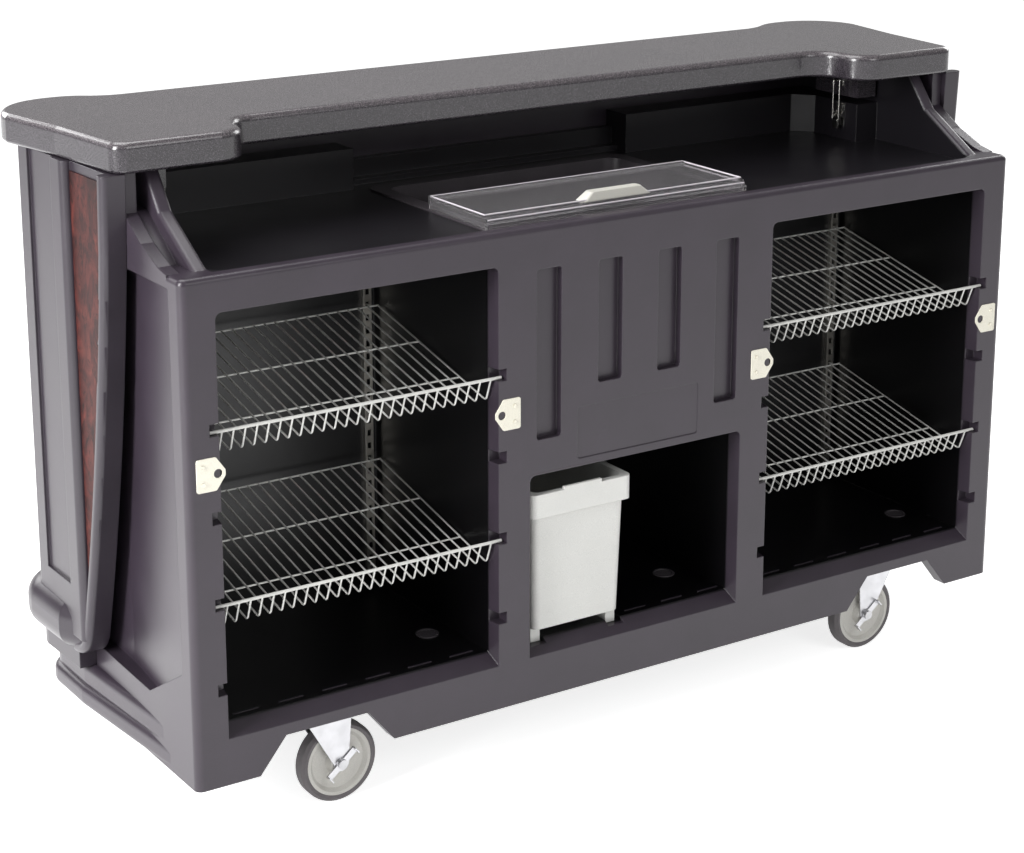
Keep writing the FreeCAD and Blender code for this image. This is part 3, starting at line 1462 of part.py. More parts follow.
latch_y = depth((d.pedestal_block_depth + d.pedestal_latch_depth) / 2 - d.latch_shift)
pin_reach = d.latch_base_thick + d.latch_pin_out
pin_height = d.latch_base_bottom + d.latch_pin_rise
bail_reach = pin_reach + d.latch_bail_out
bail_height = pin_height - d.latch_bail_down
wire = d.latch_bail_wire
crossbar_bottom = d.latch_bail_top - wire
bases = []
keepers = []
latch_screws = []
for side_name, side in SIDES.items():
    plate = turned_profile("latch_plate_" + side_name, [
        (0, d.latch_base_bottom),
        (d.latch_base_thick, d.latch_base_bottom),
        (d.latch_base_thick, d.latch_base_bottom + d.latch_base_tall),
        (0, d.latch_base_bottom + d.latch_base_tall),
    ], d.latch_base_wide / 2, side, latch_y)
    pieces = [plate]
    for way in (-1, 1):
        ear_middle = latch_y + (d.latch_base_wide - d.latch_ear_thick) / 2 * way
        pieces.append(turned_profile("latch_ear_" + side_name, [
            (0, pin_height - d.latch_ear_reach),
            (pin_reach, pin_height - d.latch_ear_thick * 2),
            (pin_reach + d.latch_ear_thick * 2, pin_height),
            (pin_reach, pin_height + d.latch_ear_thick * 2),
            (0, pin_height + d.latch_ear_reach),
        ], d.latch_ear_thick / 2, side, ear_middle))
    pin_x = (d.pedestal_latch_inner - pin_reach) * side
    pieces.append(cylinder("latch_pin_" + side_name, pin_x, latch_y - d.latch_base_wide / 2, pin_height,
                           d.latch_pin_radius, d.latch_base_wide, along="y"))
    bases.append(combine("MultiFuse", "latch_base_" + side_name, pieces))

    lever = turned_profile("lever_" + side_name, [
        (pin_reach - d.latch_lever_hub, pin_height - d.latch_lever_hub),
        (bail_reach - d.latch_lever_hub, bail_height - d.latch_lever_hub),
        (bail_reach - d.latch_lever_thick, pin_height - d.latch_lever_long),
        (bail_reach, pin_height - d.latch_lever_long),
        (bail_reach + d.latch_lever_thick, bail_height),
        (pin_reach + d.latch_lever_thick, pin_height + d.latch_lever_hub),
        (pin_reach - d.latch_lever_hub, pin_height + d.latch_lever_thick),
    ], d.latch_lever_half, side, latch_y)
    holes = new_sketch(lever, "XZ", -(latch_y - d.latch_lever_half))
    circle(holes, pin_x, pin_height, d.latch_pin_radius + d.running_gap)
    bail_x = (d.pedestal_latch_inner - bail_reach) * side
    circle(holes, bail_x, bail_height, wire + d.running_gap)
    pocket(holes, d.latch_lever_half * 2)
    keep("latch_lever_" + side_name, lever)

    legs = []
    for way in (-1, 1):
        leg_y = latch_y + d.latch_bail_half * way
        legs.append(cylinder("bail_leg_" + side_name, bail_x, leg_y, bail_height, wire,
                             d.latch_bail_top - bail_height))
        stub_low = leg_y if way < 0 else latch_y + d.latch_stub
        legs.append(cylinder("bail_stub_" + side_name, bail_x, stub_low, bail_height, wire,
                             d.latch_bail_half - d.latch_stub, along="y"))
    legs.append(cylinder("bail_crossbar_" + side_name, bail_x, latch_y - d.latch_bail_half, d.latch_bail_top,
                         wire, d.latch_bail_half * 2, along="y"))
    keep("latch_bail_" + side_name, combine("MultiFuse", "bail_" + side_name, legs))

    arm_top = crossbar_bottom - d.running_gap
    lip = bail_reach + wire + d.latch_lip_gap
    keepers.append(turned_profile("latch_hook_" + side_name, [
        (0, arm_top - d.latch_lever_long / 2),
        (d.latch_base_thick, arm_top - d.latch_lever_long / 2),
        (d.latch_base_thick, arm_top - d.latch_hook_lip),
        (lip + d.latch_hook_lip, arm_top - d.latch_hook_lip),
        (lip + d.latch_hook_lip, d.latch_bail_top - d.latch_lip_drop),
        (lip, d.latch_bail_top - d.latch_lip_drop),
        (lip, arm_top),
        (d.latch_base_thick, arm_top),
        (d.latch_base_thick, arm_top + d.latch_hook_lip * 2),
        (0, arm_top + d.latch_hook_lip * 2),
    ], d.latch_hook_half, side, latch_y))
    screw_height = d.latch_base_bottom + d.latch_base_tall - d.screw_head * 2
    start = d.pedestal_latch_inner - d.latch_base_thick - d.screw_head_tall
    screw_x = start if side > 0 else -d.pedestal_latch_inner + d.latch_base_thick
    for way in (-1, 1):
        latch_screws.append(cylinder("latch_screw", screw_x, latch_y + d.latch_screw_side * way, screw_height,
                                     d.screw_head / 2, d.screw_head_tall, along="x"))
keep("latch_bases", combine("Compound", "latch_base_set", bases))
keep("latch_keepers", combine("Compound", "latch_keeper_set", keepers))
keep("latch_screws", combine("Compound", "latch_screw_set", latch_screws))

# One caster about its own swivel axis, wheel trailing along -X: built once and copied to the four corners.
plate_bottom = d.underside_height - d.caster_plate_thick
mount = new_body("mount")
plate_plan = new_sketch(mount, "XY", plate_bottom)
rounded_rectangle(plate_plan, -(d.caster_plate_long / 2), d.caster_plate_long / 2, -(d.caster_plate_wide / 2),
                  d.caster_plate_wide / 2, d.caster_bolt_inset / 2)
pad(plate_plan, d.caster_plate_thick)
race_bottom = plate_bottom - d.race_tall
head_top = d.fork_crown_top - d.fork_steel - d.running_gap
turning = new_sketch(mount, "XZ", 0)
outline(turning, [
    (0, head_top - d.kingpin_head_tall),
    (d.kingpin_head, head_top - d.kingpin_head_tall),
    (d.kingpin_head, head_top),
    (d.kingpin_radius, head_top),
    (d.kingpin_radius, race_bottom),
    (d.race_radius - d.fork_steel * 2, race_bottom),
    (d.race_radius, race_bottom + d.fork_steel),
    (d.race_radius, plate_bottom + d.fork_steel / 2),
    (0, plate_bottom + d.fork_steel / 2),
])
revolve(turning)

fork = new_body("fork")
leg_inner = d.hub_width / 2 + d.leg_gap
leg_outer = leg_inner + d.fork_steel
crown_bottom = d.fork_crown_top - d.fork_steel
crown_front = d.race_radius
crown_back = crown_front - d.fork_top_length
tip = d.fork_tip_radius
sides = new_sketch(fork, "XZ", leg_outer)
outline(sides, [
    (crown_back, crown_bottom),
    (-d.caster_trail - tip, d.wheel_radius, tip),
    (-d.caster_trail, d.wheel_radius - tip, tip),
    (-d.caster_trail + tip, d.wheel_radius),
    (crown_front, crown_bottom - d.fork_steel * 3),
    (crown_front, crown_bottom),
])
pad(sides, leg_outer * 2, reverse=True)
between = new_sketch(fork, "YZ", crown_front + d.overrun)
rectangle(between, -leg_inner, leg_inner, 0, crown_bottom)
pocket(between, d.fork_top_length + d.overrun * 2)
crown = new_sketch(fork, "XY", crown_bottom)
rounded_rectangle(crown, crown_back, crown_front, -leg_outer, leg_outer, d.fork_steel * 2)
pad(crown, d.fork_steel)
cup = circle(new_sketch(fork, "XY", crown_bottom), 0, 0, d.race_radius - d.fork_steel)
pad(cup, race_bottom - d.fit_gap - crown_bottom)
pin_hole = circle(new_sketch(fork, "XY", race_bottom), 0, 0, d.kingpin_radius + d.running_gap)
pocket(pin_hole, race_bottom - crown_bottom + d.overrun)
axle_hole = circle(new_sketch(fork, "XZ", leg_outer + d.overrun), -d.caster_trail, d.wheel_radius, d.axle_radius)
pocket(axle_hole, (leg_outer + d.overrun) * 2)

# Wheel profiles are drawn as radius and width, and turned about the axle.


def wheel_part(name, corners):
    """Ring about the axle line from a profile of radius and distance from the wheel's middle plane."""
    body = new_body(name)
    sketch = outline(new_sketch(body, "XY", d.wheel_radius),
                     [(radius - d.caster_trail, width) for radius, width in corners])
    axis = sketch.addGeometry(Part.LineSegment(
        FreeCAD.Vector(-number(d.caster_trail), -1, 0), FreeCAD.Vector(-number(d.caster_trail), 1, 0)), True)
    pin_point(sketch, axis, 1, (-d.caster_trail, -1))
    pin_point(sketch, axis, 2, (-d.caster_trail, 1))
    revolve(sketch, axis="Axis0")
    return body


tread_inner = d.wheel_radius - d.tread_thick
half_tread = d.wheel_width / 2
shoulder = d.tread_thick / 2
tyre = wheel_part("tyre", [
    (tread_inner, -half_tread + d.rim_inset),
    (d.wheel_radius - shoulder, -half_tread),
    (d.wheel_radius, -half_tread + shoulder),
    (d.wheel_radius, half_tread - shoulder),
    (d.wheel_radius - shoulder, half_tread),
    (tread_inner, half_tread - d.rim_inset),
])
half_disc = d.disc_width / 2
half_rim = half_tread - d.rim_inset
rim_inner = tread_inner - d.rim_thick
bore = d.axle_radius + d.running_gap
wheel = wheel_part("wheel", [
    (bore, -(d.hub_width / 2)),
    (d.hub_radius, -(d.hub_width / 2)),
    (d.hub_radius + d.rim_thick, -half_disc),
    (rim_inner - d.rim_thick, -half_disc),
    (rim_inner, -half_rim),
    (tread_inner, -half_rim),
    (tread_inner, half_rim),
    (rim_inner, half_rim),
    (rim_inner - d.rim_thick, half_disc),
    (d.hub_radius + d.rim_thick, half_disc),
    (d.hub_radius, d.hub_width / 2),
    (bore, d.hub_width / 2),
])


def axle(name, front_reach):
    """Axle with a head at each end, the front one standing clear of a brake lever or on the fork."""
    pieces = [
        cylinder(name + "_pin", -d.caster_trail, -front_reach, d.wheel_radius, d.axle_radius,
                 front_reach + leg_outer, along="y"),
        cylinder(name + "_front_head", -d.caster_trail, -front_reach - d.axle_head_tall, d.wheel_radius,
                 d.axle_head, d.axle_head_tall, along="y"),
        cylinder(name + "_back_head", -d.caster_trail, leg_outer, d.wheel_radius,
                 d.axle_head, d.axle_head_tall, along="y"),
    ]
    return combine("MultiFuse", name, pieces)


plain_axle = axle("plain_axle", leg_outer)
braked_axle = axle("braked_axle", leg_outer + d.fit_gap * 2 + d.brake_thick)

# Brake lever: a cross arm that rocks on the axle, with a foot pad folded out at each end.
lever_low = leg_outer + d.fit_gap
brake = new_body("brake")
slope = math.radians(d.brake_angle.number)
along = (math.cos(slope), math.sin(slope))
arm = [
    (-d.brake_half_long, -d.brake_wide / 2),
    (d.brake_half_long, -d.brake_wide / 2),
    (d.brake_half_long, d.brake_wide / 2),
    (-d.brake_half_long, d.brake_wide / 2),
]


def brake_outline(sketch, corners):
    """Outline drawn along the lever, turned to its slope about the axle."""
    return outline(sketch, [
        (x * along[0] - y * along[1] - d.caster_trail, x * along[1] + y * along[0] + d.wheel_radius)
        for x, y in corners
    ])


pad(brake_outline(new_sketch(brake, "XZ", lever_low), arm), d.brake_thick)
pad(circle(new_sketch(brake, "XZ", lever_low), -d.caster_trail, d.wheel_radius, d.brake_hub), d.brake_thick)
for way in (-1, 1):
    end = d.brake_half_long * way
    start = end - d.brake_thick * way
    low, high = (end, start) if way < 0 else (start, end)
    pad_sketch = new_sketch(brake, "XZ", lever_low)
    brake_outline(pad_sketch, [
        (low, -d.brake_pad_long / 2),
        (high, -d.brake_pad_long / 2),
        (high, d.brake_pad_long / 2),
        (low, d.brake_pad_long / 2),
    ])
    pad(pad_sketch, d.brake_thick + d.brake_pad_reach)
brake_hole = circle(new_sketch(brake, "XZ", lever_low + d.brake_thick), -d.caster_trail, d.wheel_radius, bore)
pocket(brake_hole, d.brake_thick)

bolt_side = d.caster_plate_long / 2 - d.caster_bolt_inset
bolt_depth = d.caster_plate_wide / 2 - d.caster_bolt_inset
bolts = combine("Compound", "bolt_set", [
    cylinder("caster_bolt", bolt_side * x_way, bolt_depth * y_way, plate_bottom - d.caster_bolt_head_tall,
             d.caster_bolt_head, d.caster_bolt_head_tall)
    for x_way in (-1, 1) for y_way in (-1, 1)
])

all_bolts = []
for row, row_depth, row_axle in (("front", d.caster_front_depth, braked_axle),
                                 ("rear", d.caster_back_depth, plain_axle)):
    for side_name, side in SIDES.items():
        corner_name = row + "_" + side_name
        x = d.caster_side * side
        y = depth(row_depth)
        turned = 0 if side > 0 else 180
        all_bolts.append(copy_of("bolts_" + corner_name, bolts, x, y, 0))
        keep("caster_plate_" + corner_name, copy_of("plate_at_" + corner_name, mount, x, y, 0))
        keep("caster_fork_" + corner_name, copy_of("fork_at_" + corner_name, fork, x, y, 0, turned))
        keep("caster_tyre_" + corner_name, copy_of("tyre_at_" + corner_name, tyre, x, y, 0, turned))
        keep("caster_wheel_" + corner_name, copy_of("wheel_at_" + corner_name, wheel, x, y, 0, turned))
        if row_axle is plain_axle or side > 0:
            placed_axle = copy_of("axle_at_" + corner_name, row_axle, x, y, 0, turned)
        else:
            placed_axle = copy_of("axle_at_" + corner_name, row_axle, x + d.caster_trail * 2, y, 0)
        keep("caster_axle_" + corner_name, placed_axle)
        if row_axle is braked_axle:
            shift = 0 if side > 0 else d.caster_trail * 2
            keep("brake_lever_" + side_name, copy_of("brake_at_" + side_name, brake, x + shift, y, 0))
keep("caster_bolts", combine("Compound", "caster_bolt_set", all_bolts))

# Check every object, then write one STEP file for each sub-part.
doc.recompute()
for item in doc.Objects:
    if "Invalid" in item.State or "Error" in item.State:
        raise ValueError("%s (%s) did not compute" % (item.Name, item.Label))
os.makedirs("parts", exist_ok=True)
for name, item in nodes.items():
    shape = item.Shape
    if shape.isNull() or not shape.isValid() or not shape.Solids:
        raise ValueError("%s has no valid solid" % name)
    shape.exportStep("parts/%s.step" % name)
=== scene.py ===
import json
import math

import bpy
from mathutils import Matrix, Vector

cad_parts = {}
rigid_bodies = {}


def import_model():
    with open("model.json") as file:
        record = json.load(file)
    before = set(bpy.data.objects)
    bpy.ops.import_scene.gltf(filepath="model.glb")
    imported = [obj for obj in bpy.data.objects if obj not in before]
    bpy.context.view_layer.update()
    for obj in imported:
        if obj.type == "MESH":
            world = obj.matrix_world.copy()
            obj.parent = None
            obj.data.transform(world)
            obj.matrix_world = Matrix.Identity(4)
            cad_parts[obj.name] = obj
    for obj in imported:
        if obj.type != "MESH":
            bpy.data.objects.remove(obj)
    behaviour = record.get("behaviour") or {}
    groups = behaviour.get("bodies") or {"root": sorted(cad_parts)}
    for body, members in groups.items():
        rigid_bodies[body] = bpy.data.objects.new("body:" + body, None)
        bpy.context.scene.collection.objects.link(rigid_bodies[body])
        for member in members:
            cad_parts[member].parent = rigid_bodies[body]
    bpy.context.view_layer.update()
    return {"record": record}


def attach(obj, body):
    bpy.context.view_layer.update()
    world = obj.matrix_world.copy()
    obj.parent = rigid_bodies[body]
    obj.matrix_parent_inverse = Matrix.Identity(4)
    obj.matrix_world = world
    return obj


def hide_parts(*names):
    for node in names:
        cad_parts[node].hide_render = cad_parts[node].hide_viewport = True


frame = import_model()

# Camera: the photograph's viewpoint, fitted to the corners of the bar, in an image 1024 pixels wide. Its focal length
# is a little shorter than the fit, so that the bar top's left end is inside the picture.
CAMERA_PLACE = (-2.4608, -3.6470, 1.9653)
CAMERA_AZIMUTH = 0.58165
CAMERA_DROP = 0.25726
CAMERA_ROLL = 0.0004
CAMERA_PIXELS = 2335.0
CAMERA_SHIFT_Y = -0.14
IMAGE_WIDTH = 1024.0
SENSOR_WIDTH = 36.0
CAMERA_REACH = 100.0

scene = bpy.context.scene
scene.view_settings.view_transform = "Standard"


def make_camera():
    """Camera that looks along the fitted azimuth and drop."""
    data = bpy.data.cameras.new("camera")
    data.sensor_width = SENSOR_WIDTH
    data.lens = CAMERA_PIXELS / IMAGE_WIDTH * SENSOR_WIDTH
    data.shift_y = CAMERA_SHIFT_Y
    data.clip_end = CAMERA_REACH
    camera = bpy.data.objects.new("camera", data)
    scene.collection.objects.link(camera)
    ahead = Vector((math.sin(CAMERA_AZIMUTH) * math.cos(CAMERA_DROP),
                    math.cos(CAMERA_AZIMUTH) * math.cos(CAMERA_DROP),
                    -math.sin(CAMERA_DROP)))
    right = ahead.cross(Vector((0, 0, 1))).normalized()
    up = right.cross(ahead)
    turned_right = right * math.cos(CAMERA_ROLL) + up * math.sin(CAMERA_ROLL)
    turned_up = up * math.cos(CAMERA_ROLL) - right * math.sin(CAMERA_ROLL)
    columns = Matrix((turned_right, turned_up, -ahead)).transposed()
    camera.matrix_world = Matrix.Translation(Vector(CAMERA_PLACE)) @ columns.to_4x4()
    scene.camera = camera


make_camera()


# Materials

# Painted shade: the cabinet's compartments and worktop are darker than its outside, the bays darkest, standing in for
# the shade within them.
INSIDE_HALF = 0.846
INSIDE_FRONT = -0.303
INSIDE_TOP = 0.97
BAY_HALF = 0.864
BAY_BOTTOM = 0.21
BAY_SHADE = 0.3
# Painted shade: the bar top's edge is darker than its top, up to this height, for the weaker light on its sides.
TOP_BAND = 1.199
EDGE_PAINTED_SHADE = (0.46, 0.45, 0.50, 1)
# Past every point of the bar, for a mask that is open on that side.
FAR = 1.0


def srgb(red, green, blue):
    """Linear colour from the 0 to 255 values of a screen colour."""
    def channel(value):
        value /= 255.0
        return value / 12.92 if value <= 0.04045 else ((value + 0.055) / 1.055) ** 2.4
    return (channel(red), channel(green), channel(blue), 1.0)


def shade(colour, factor):
    """The colour times a factor, at most white."""
    return tuple(min(c * factor, 1) for c in colour[:3]) + (1,)


class Nodes:
    """A material's node tree with short ways to add and join nodes."""

    def __init__(self, name):
        self.material = bpy.data.materials.new(name)
        self.material.use_nodes = True
        self.tree = self.material.node_tree
        self.shader = self.tree.nodes["Principled BSDF"]
        self.out = self.tree.nodes["Material Output"]

    def add(self, kind, **settings):
        node = self.tree.nodes.new(kind)
        for key, value in settings.items():
            setattr(node, key, value)
        return node

    def join(self, output, socket):
        self.tree.links.new(output, socket)

    def coords(self, scale=(1, 1, 1), turn=(0, 0, 0)):
        place = self.add("ShaderNodeTexCoord")
        mapping = self.add("ShaderNodeMapping")
        mapping.inputs["Scale"].default_value = scale
        mapping.inputs["Rotation"].default_value = turn
        self.join(place.outputs["Object"], mapping.inputs["Vector"])
        return mapping.outputs["Vector"]

    def noise(self, vector, scale, detail=3.0, rough=0.5, distortion=0.0):
        node = self.add("ShaderNodeTexNoise")
        node.inputs["Scale"].default_value = scale
        node.inputs["Detail"].default_value = detail
        node.inputs["Roughness"].default_value = rough
        node.inputs["Distortion"].default_value = distortion
        self.join(vector, node.inputs["Vector"])
        return node.outputs["Fac"]

    def ramp(self, factor, stops):
        node = self.add("ShaderNodeValToRGB")
        ramp = node.color_ramp
        while len(ramp.elements) < len(stops):
            ramp.elements.new(0.5)
        for element, (position, colour) in zip(ramp.elements, stops):
            element.position = position
            element.color = colour if len(colour) == 4 else (*colour, 1.0)
        self.join(factor, node.inputs["Fac"])
        return node.outputs["Color"]

    def mix(self, factor, first, second, blend="MIX"):
        node = self.add("ShaderNodeMix", data_type="RGBA", blend_type=blend)
        for socket, value in ((node.inputs["Factor"], factor), (node.inputs["A"], first),
                              (node.inputs["B"], second)):
            if hasattr(value, "is_output"):
                self.join(value, socket)
            else:
                socket.default_value = value
        return node.outputs["Result"]

    def between(self, value, low, high, soft=0.004):
        """1 where the value lies between low and high, with soft ends."""
        result = None
        for start, end in ((low - soft, low), (high + soft, high)):
            node = self.add("ShaderNodeMapRange")
            node.inputs["From Min"].default_value = start
            node.inputs["From Max"].default_value = end
            self.join(value, node.inputs["Value"])
            if result is None:
                result = node.outputs["Result"]
            else:
                result = self.maths("MULTIPLY", result, node.outputs["Result"])
        return result

    def maths(self, operation, *values):
        node = self.add("ShaderNodeMath", operation=operation)
        for socket, value in zip(node.inputs, values):
            if hasattr(value, "is_output"):
                self.join(value, socket)
            else:
                socket.default_value = value
        return node.outputs[0]

    def axes(self):
        """Absolute X, Y and Z of the shaded point."""
        split = self.add("ShaderNodeSeparateXYZ")
        self.join(self.coords(), split.inputs["Vector"])
        return self.maths("ABSOLUTE", split.outputs["X"]), split.outputs["Y"], split.outputs["Z"]

    def spread(self, value, low, high):
        node = self.add("ShaderNodeMapRange")
        node.inputs["To Min"].default_value = low
        node.inputs["To Max"].default_value = high
        self.join(value, node.inputs["Value"])
        return node.outputs["Result"]

    def bump(self, height, strength, distance, normal=None):
        node = self.add("ShaderNodeBump")
        node.inputs["Strength"].default_value = strength
        node.inputs["Distance"].default_value = distance
        self.join(height, node.inputs["Height"])
        if normal is not None:
            self.join(normal, node.inputs["Normal"])
        return node.outputs["Normal"]

    def rounded(self, radius, samples=4):
        node = self.add("ShaderNodeBevel", samples=samples)
        node.inputs["Radius"].default_value = radius
        return node.outputs["Normal"]

    def colour(self, value):
        if hasattr(value, "is_output"):
            self.join(value, self.shader.inputs["Base Color"])
        else:
            self.shader.inputs["Base Color"].default_value = value

    def finish(self, rough=None, normal=None, **constants):
        if rough is not None:
            if hasattr(rough, "is_output"):
                self.join(rough, self.shader.inputs["Roughness"])
            else:
                self.shader.inputs["Roughness"].default_value = rough
        if normal is not None:
            self.join(normal, self.shader.inputs["Normal"])
        for key, value in constants.items():
            self.shader.inputs[key.replace("_", " ")].default_value = value
        return self.material


def moulded_plastic(name, colour, rough=0.5, grain=1400.0, depth=0.00012, edge=0.003, mottle=0.12, specular=0.5,
                    inside_shade=None):
    """Moulded plastic: stippled skin, faint mottling and softened edges; a given darker colour is painted shade
    within the cabinet's compartments.
    """
    n = Nodes(name)
    where = n.coords()
    cloud = n.noise(where, 9.0, 4.0)
    fine = n.noise(where, grain, 2.0)
    base = n.ramp(cloud, [(0.3, shade(colour, 1 - mottle)), (0.7, shade(colour, 1 + mottle))])
    speck = n.ramp(fine, [(0.35, (0.82, 0.82, 0.82)), (0.65, (1.14, 1.14, 1.14))])
    skin = n.mix(0.7, base, speck, "MULTIPLY")
    # Painted shade: darker colour behind the face and within the cabinet, darkest in the bays, where the light does
    # not reach.
    if inside_shade:
        across, along, up = n.axes()
        behind = n.between(along, INSIDE_FRONT, FAR)
        above = n.maths("MULTIPLY", behind, n.between(across, -FAR, INSIDE_HALF))
        skin = n.mix(above, skin, inside_shade)
        bays = n.maths("MULTIPLY", n.between(across, -FAR, BAY_HALF), n.between(up, BAY_BOTTOM, INSIDE_TOP))
        skin = n.mix(n.maths("MULTIPLY", behind, bays), skin, shade(inside_shade, BAY_SHADE))
    n.colour(skin)
    normal = n.rounded(edge) if edge else None
    bumped = n.bump(fine, 0.5, depth, normal)
    return n.finish(n.spread(cloud, rough - 0.05, rough + 0.07), bumped, Specular_IOR_Level=specular)


def speckled_granite(name):
    """Granite-look moulding: fine grey grain with dark and pale specks under a satin skin; its edge band below the
    top is darkened as painted shade.
    """
    n = Nodes(name)
    where = n.coords()
    fine = n.noise(where, 620.0, 3.0, 0.65)
    specks = n.add("ShaderNodeTexVoronoi")
    specks.inputs["Scale"].default_value = 520.0
    n.join(where, specks.inputs["Vector"])
    cloud = n.noise(where, 5.0, 3.0)
    grain = n.ramp(fine, [(0.30, srgb(30, 28, 32)), (0.46, srgb(58, 54, 58)),
                          (0.56, srgb(84, 78, 82)), (0.74, srgb(160, 152, 156))])
    dots = n.ramp(specks.outputs["Distance"], [(0.10, srgb(70, 68, 70)), (0.24, (1, 1, 1, 1))])
    base = n.mix(0.35, grain, dots, "MULTIPLY")
    tone = n.ramp(cloud, [(0.3, (0.93, 0.93, 0.93)), (0.7, (1.05, 1.04, 1.03))])
    skin = n.mix(1.0, base, tone, "MULTIPLY")
    # Painted shade: the edge below the top band is darkened, as its sides catch less light than the top.
    band = n.between(n.axes()[2], 0.0, TOP_BAND)
    n.colour(n.mix(band, skin, n.mix(1.0, skin, EDGE_PAINTED_SHADE, "MULTIPLY")))
    bumped = n.bump(fine, 0.25, 0.0002)
    return n.finish(n.spread(fine, 0.20, 0.34), bumped, Specular_IOR_Level=0.6, Coat_Weight=0.5,
                    Coat_Roughness=0.14)


def burl_laminate(name):
    """Red-brown burl laminate: swirling figure with dark veins and small eyes."""
    n = Nodes(name)
    where = n.coords((1, 1, 0.55))
    warp = n.noise(where, 9.0, 4.0, 0.6, 1.6)
    figure = n.noise(where, 17.0, 7.0, 0.66, 3.0)
    veins = n.noise(where, 30.0, 6.0, 0.7, 4.2)
    base = n.ramp(figure, [(0.25, srgb(24, 9, 9)), (0.42, srgb(50, 20, 19)),
                           (0.58, srgb(78, 35, 31)), (0.76, srgb(104, 54, 44))])
    dark = n.ramp(veins, [(0.38, srgb(44, 16, 20)), (0.47, (1, 1, 1, 1))])
    tone = n.ramp(warp, [(0.35, (0.72, 0.68, 0.70)), (0.65, (1.12, 1.08, 1.05))])
    n.colour(n.mix(1.0, n.mix(0.75, base, dark, "MULTIPLY"), tone, "MULTIPLY"))
    bumped = n.bump(veins, 0.08, 0.0004)
    return n.finish(0.5, bumped, Specular_IOR_Level=0.25)


def metal(name, colour, rough=0.3, edge=0.0008, brushed=220.0):
    """Plated or drawn metal with faint streaks and tarnish."""
    n = Nodes(name)
    where = n.coords((1, 1, 9))
    streak = n.noise(where, brushed, 3.0)
    cloud = n.noise(n.coords(), 30.0, 3.0)
    n.colour(n.ramp(cloud, [(0.35, shade(colour, 0.86)), (0.62, colour)]))
    bumped = n.bump(streak, 0.15, 0.0001, n.rounded(edge))
    return n.finish(n.spread(streak, rough - 0.06, rough + 0.1), bumped, Metallic=1.0)


def painted(name, colour, rough=0.4, orange_peel=700.0):
    """Powder coat with a light orange peel."""
    n = Nodes(name)
    where = n.coords()
    peel = n.noise(where, orange_peel, 2.0)
    cloud = n.noise(where, 24.0, 3.0)
    n.colour(n.ramp(cloud, [(0.3, shade(colour, 0.88)), (0.6, colour)]))
    return n.finish(n.spread(peel, rough - 0.05, rough + 0.08), n.bump(peel, 0.2, 0.0001))


def clear_plastic(name):
    """Clear polycarbonate, faintly grey and hazy, with light scuffs."""
    n = Nodes(name)
    where = n.coords()
    scuff = n.noise(where, 60.0, 5.0, 0.7)
    n.colour((0.80, 0.78, 0.80, 1))
    bumped = n.bump(scuff, 0.05, 0.0002, n.rounded(0.0012))
    return n.finish(n.spread(scuff, 0.02, 0.07), bumped, Transmission_Weight=0.93, IOR=1.42,
                    Specular_IOR_Level=0.4)


def rubber(name, colour):
    """Moulded tyre rubber with dust in its grain."""
    n = Nodes(name)
    where = n.coords()
    fine = n.noise(where, 900.0, 3.0)
    dust = n.noise(where, 34.0, 5.0, 0.65)
    n.colour(n.ramp(dust, [(0.35, colour), (0.7, shade(colour, 1.35))]))
    return n.finish(n.spread(dust, 0.55, 0.75), n.bump(fine, 0.35, 0.00015, n.rounded(0.002)))


MATERIALS = {
    # The cabinet's darker colour within is painted shade for its compartments and worktop.
    "cabinet_plastic": moulded_plastic("cabinet moulding", srgb(52, 45, 54), 0.31,
                                       inside_shade=srgb(20, 18, 22)),
    "shell_plastic": moulded_plastic("shell moulding", srgb(48, 42, 50), 0.3),
    "burl_laminate": burl_laminate("burl laminate"),
    "granite_top": speckled_granite("granite top"),
    "cream_plastic": moulded_plastic("cream plastic", srgb(246, 242, 226), 0.35, mottle=0.03, edge=0.0008),
    "rivet_metal": metal("rivet", srgb(214, 210, 196), 0.35),
    "rack_wire": painted("rack wire", srgb(224, 224, 220), 0.35),
    "standard_steel": metal("standard steel", srgb(188, 184, 176), 0.32),
    "screw_steel": metal("screw steel", srgb(150, 150, 152), 0.3),
    "latch_steel": metal("latch chrome", srgb(206, 204, 200), 0.16),
    "zinc_steel": metal("bright zinc", srgb(200, 200, 203), 0.3),
    "axle_steel": metal("axle zinc", srgb(188, 188, 190), 0.3),
    "tyre_rubber": rubber("tyre rubber", srgb(96, 92, 94)),
    "wheel_plastic": moulded_plastic("wheel disc", srgb(206, 204, 198), 0.42, mottle=0.04, edge=0.001),
    "sink_plastic": moulded_plastic("sink liner", srgb(62, 58, 62), 0.36, edge=0.002),
    "drain_plastic": moulded_plastic("drain fitting", srgb(70, 66, 70), 0.4, edge=0.001),
    "plug_plastic": moulded_plastic("drain plug", srgb(70, 66, 70), 0.4, edge=0.001),
    "clear_plastic": clear_plastic("clear lid"),
    # Painted highlight: a pale opaque colour for the light caught along the clear lid's edges.
    "lid_edge_highlight": painted("lid edge highlight", srgb(206, 200, 206), 0.2),
    "handle_plastic": moulded_plastic("lid handle", srgb(196, 194, 186), 0.4, mottle=0.04, edge=0.003),
    "bin_plastic": moulded_plastic("bin plastic", srgb(226, 226, 222), 0.42, mottle=0.03, edge=0.002),
}

for entry in frame["record"]["subparts"]:
    node = bpy.data.objects[entry["node"]]
    for index in range(len(node.material_slots)):
        node.material_slots[index].material = MATERIALS[entry["material_slot"]]


# Round wires


def wire_curve(name, paths, radius, body, slot_name, sides=3, look=None):
    """Round wires along polylines, as one curve object."""
    curve = bpy.data.curves.new(name, "CURVE")
    curve.dimensions = "3D"
    curve.bevel_resolution = sides
    curve.bevel_depth = radius
    curve.use_fill_caps = True
    for path in paths:
        spline = curve.splines.new("POLY")
        spline.points.add(len(path) - 1)
        for point, where in zip(spline.points, path):
            point.co = (*where, 1.0)
        spline.use_smooth = True
    piece = bpy.data.objects.new(name, curve)
    scene.collection.objects.link(piece)
    curve.materials.append(MATERIALS[look or slot_name])
    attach(piece, body)
    return piece


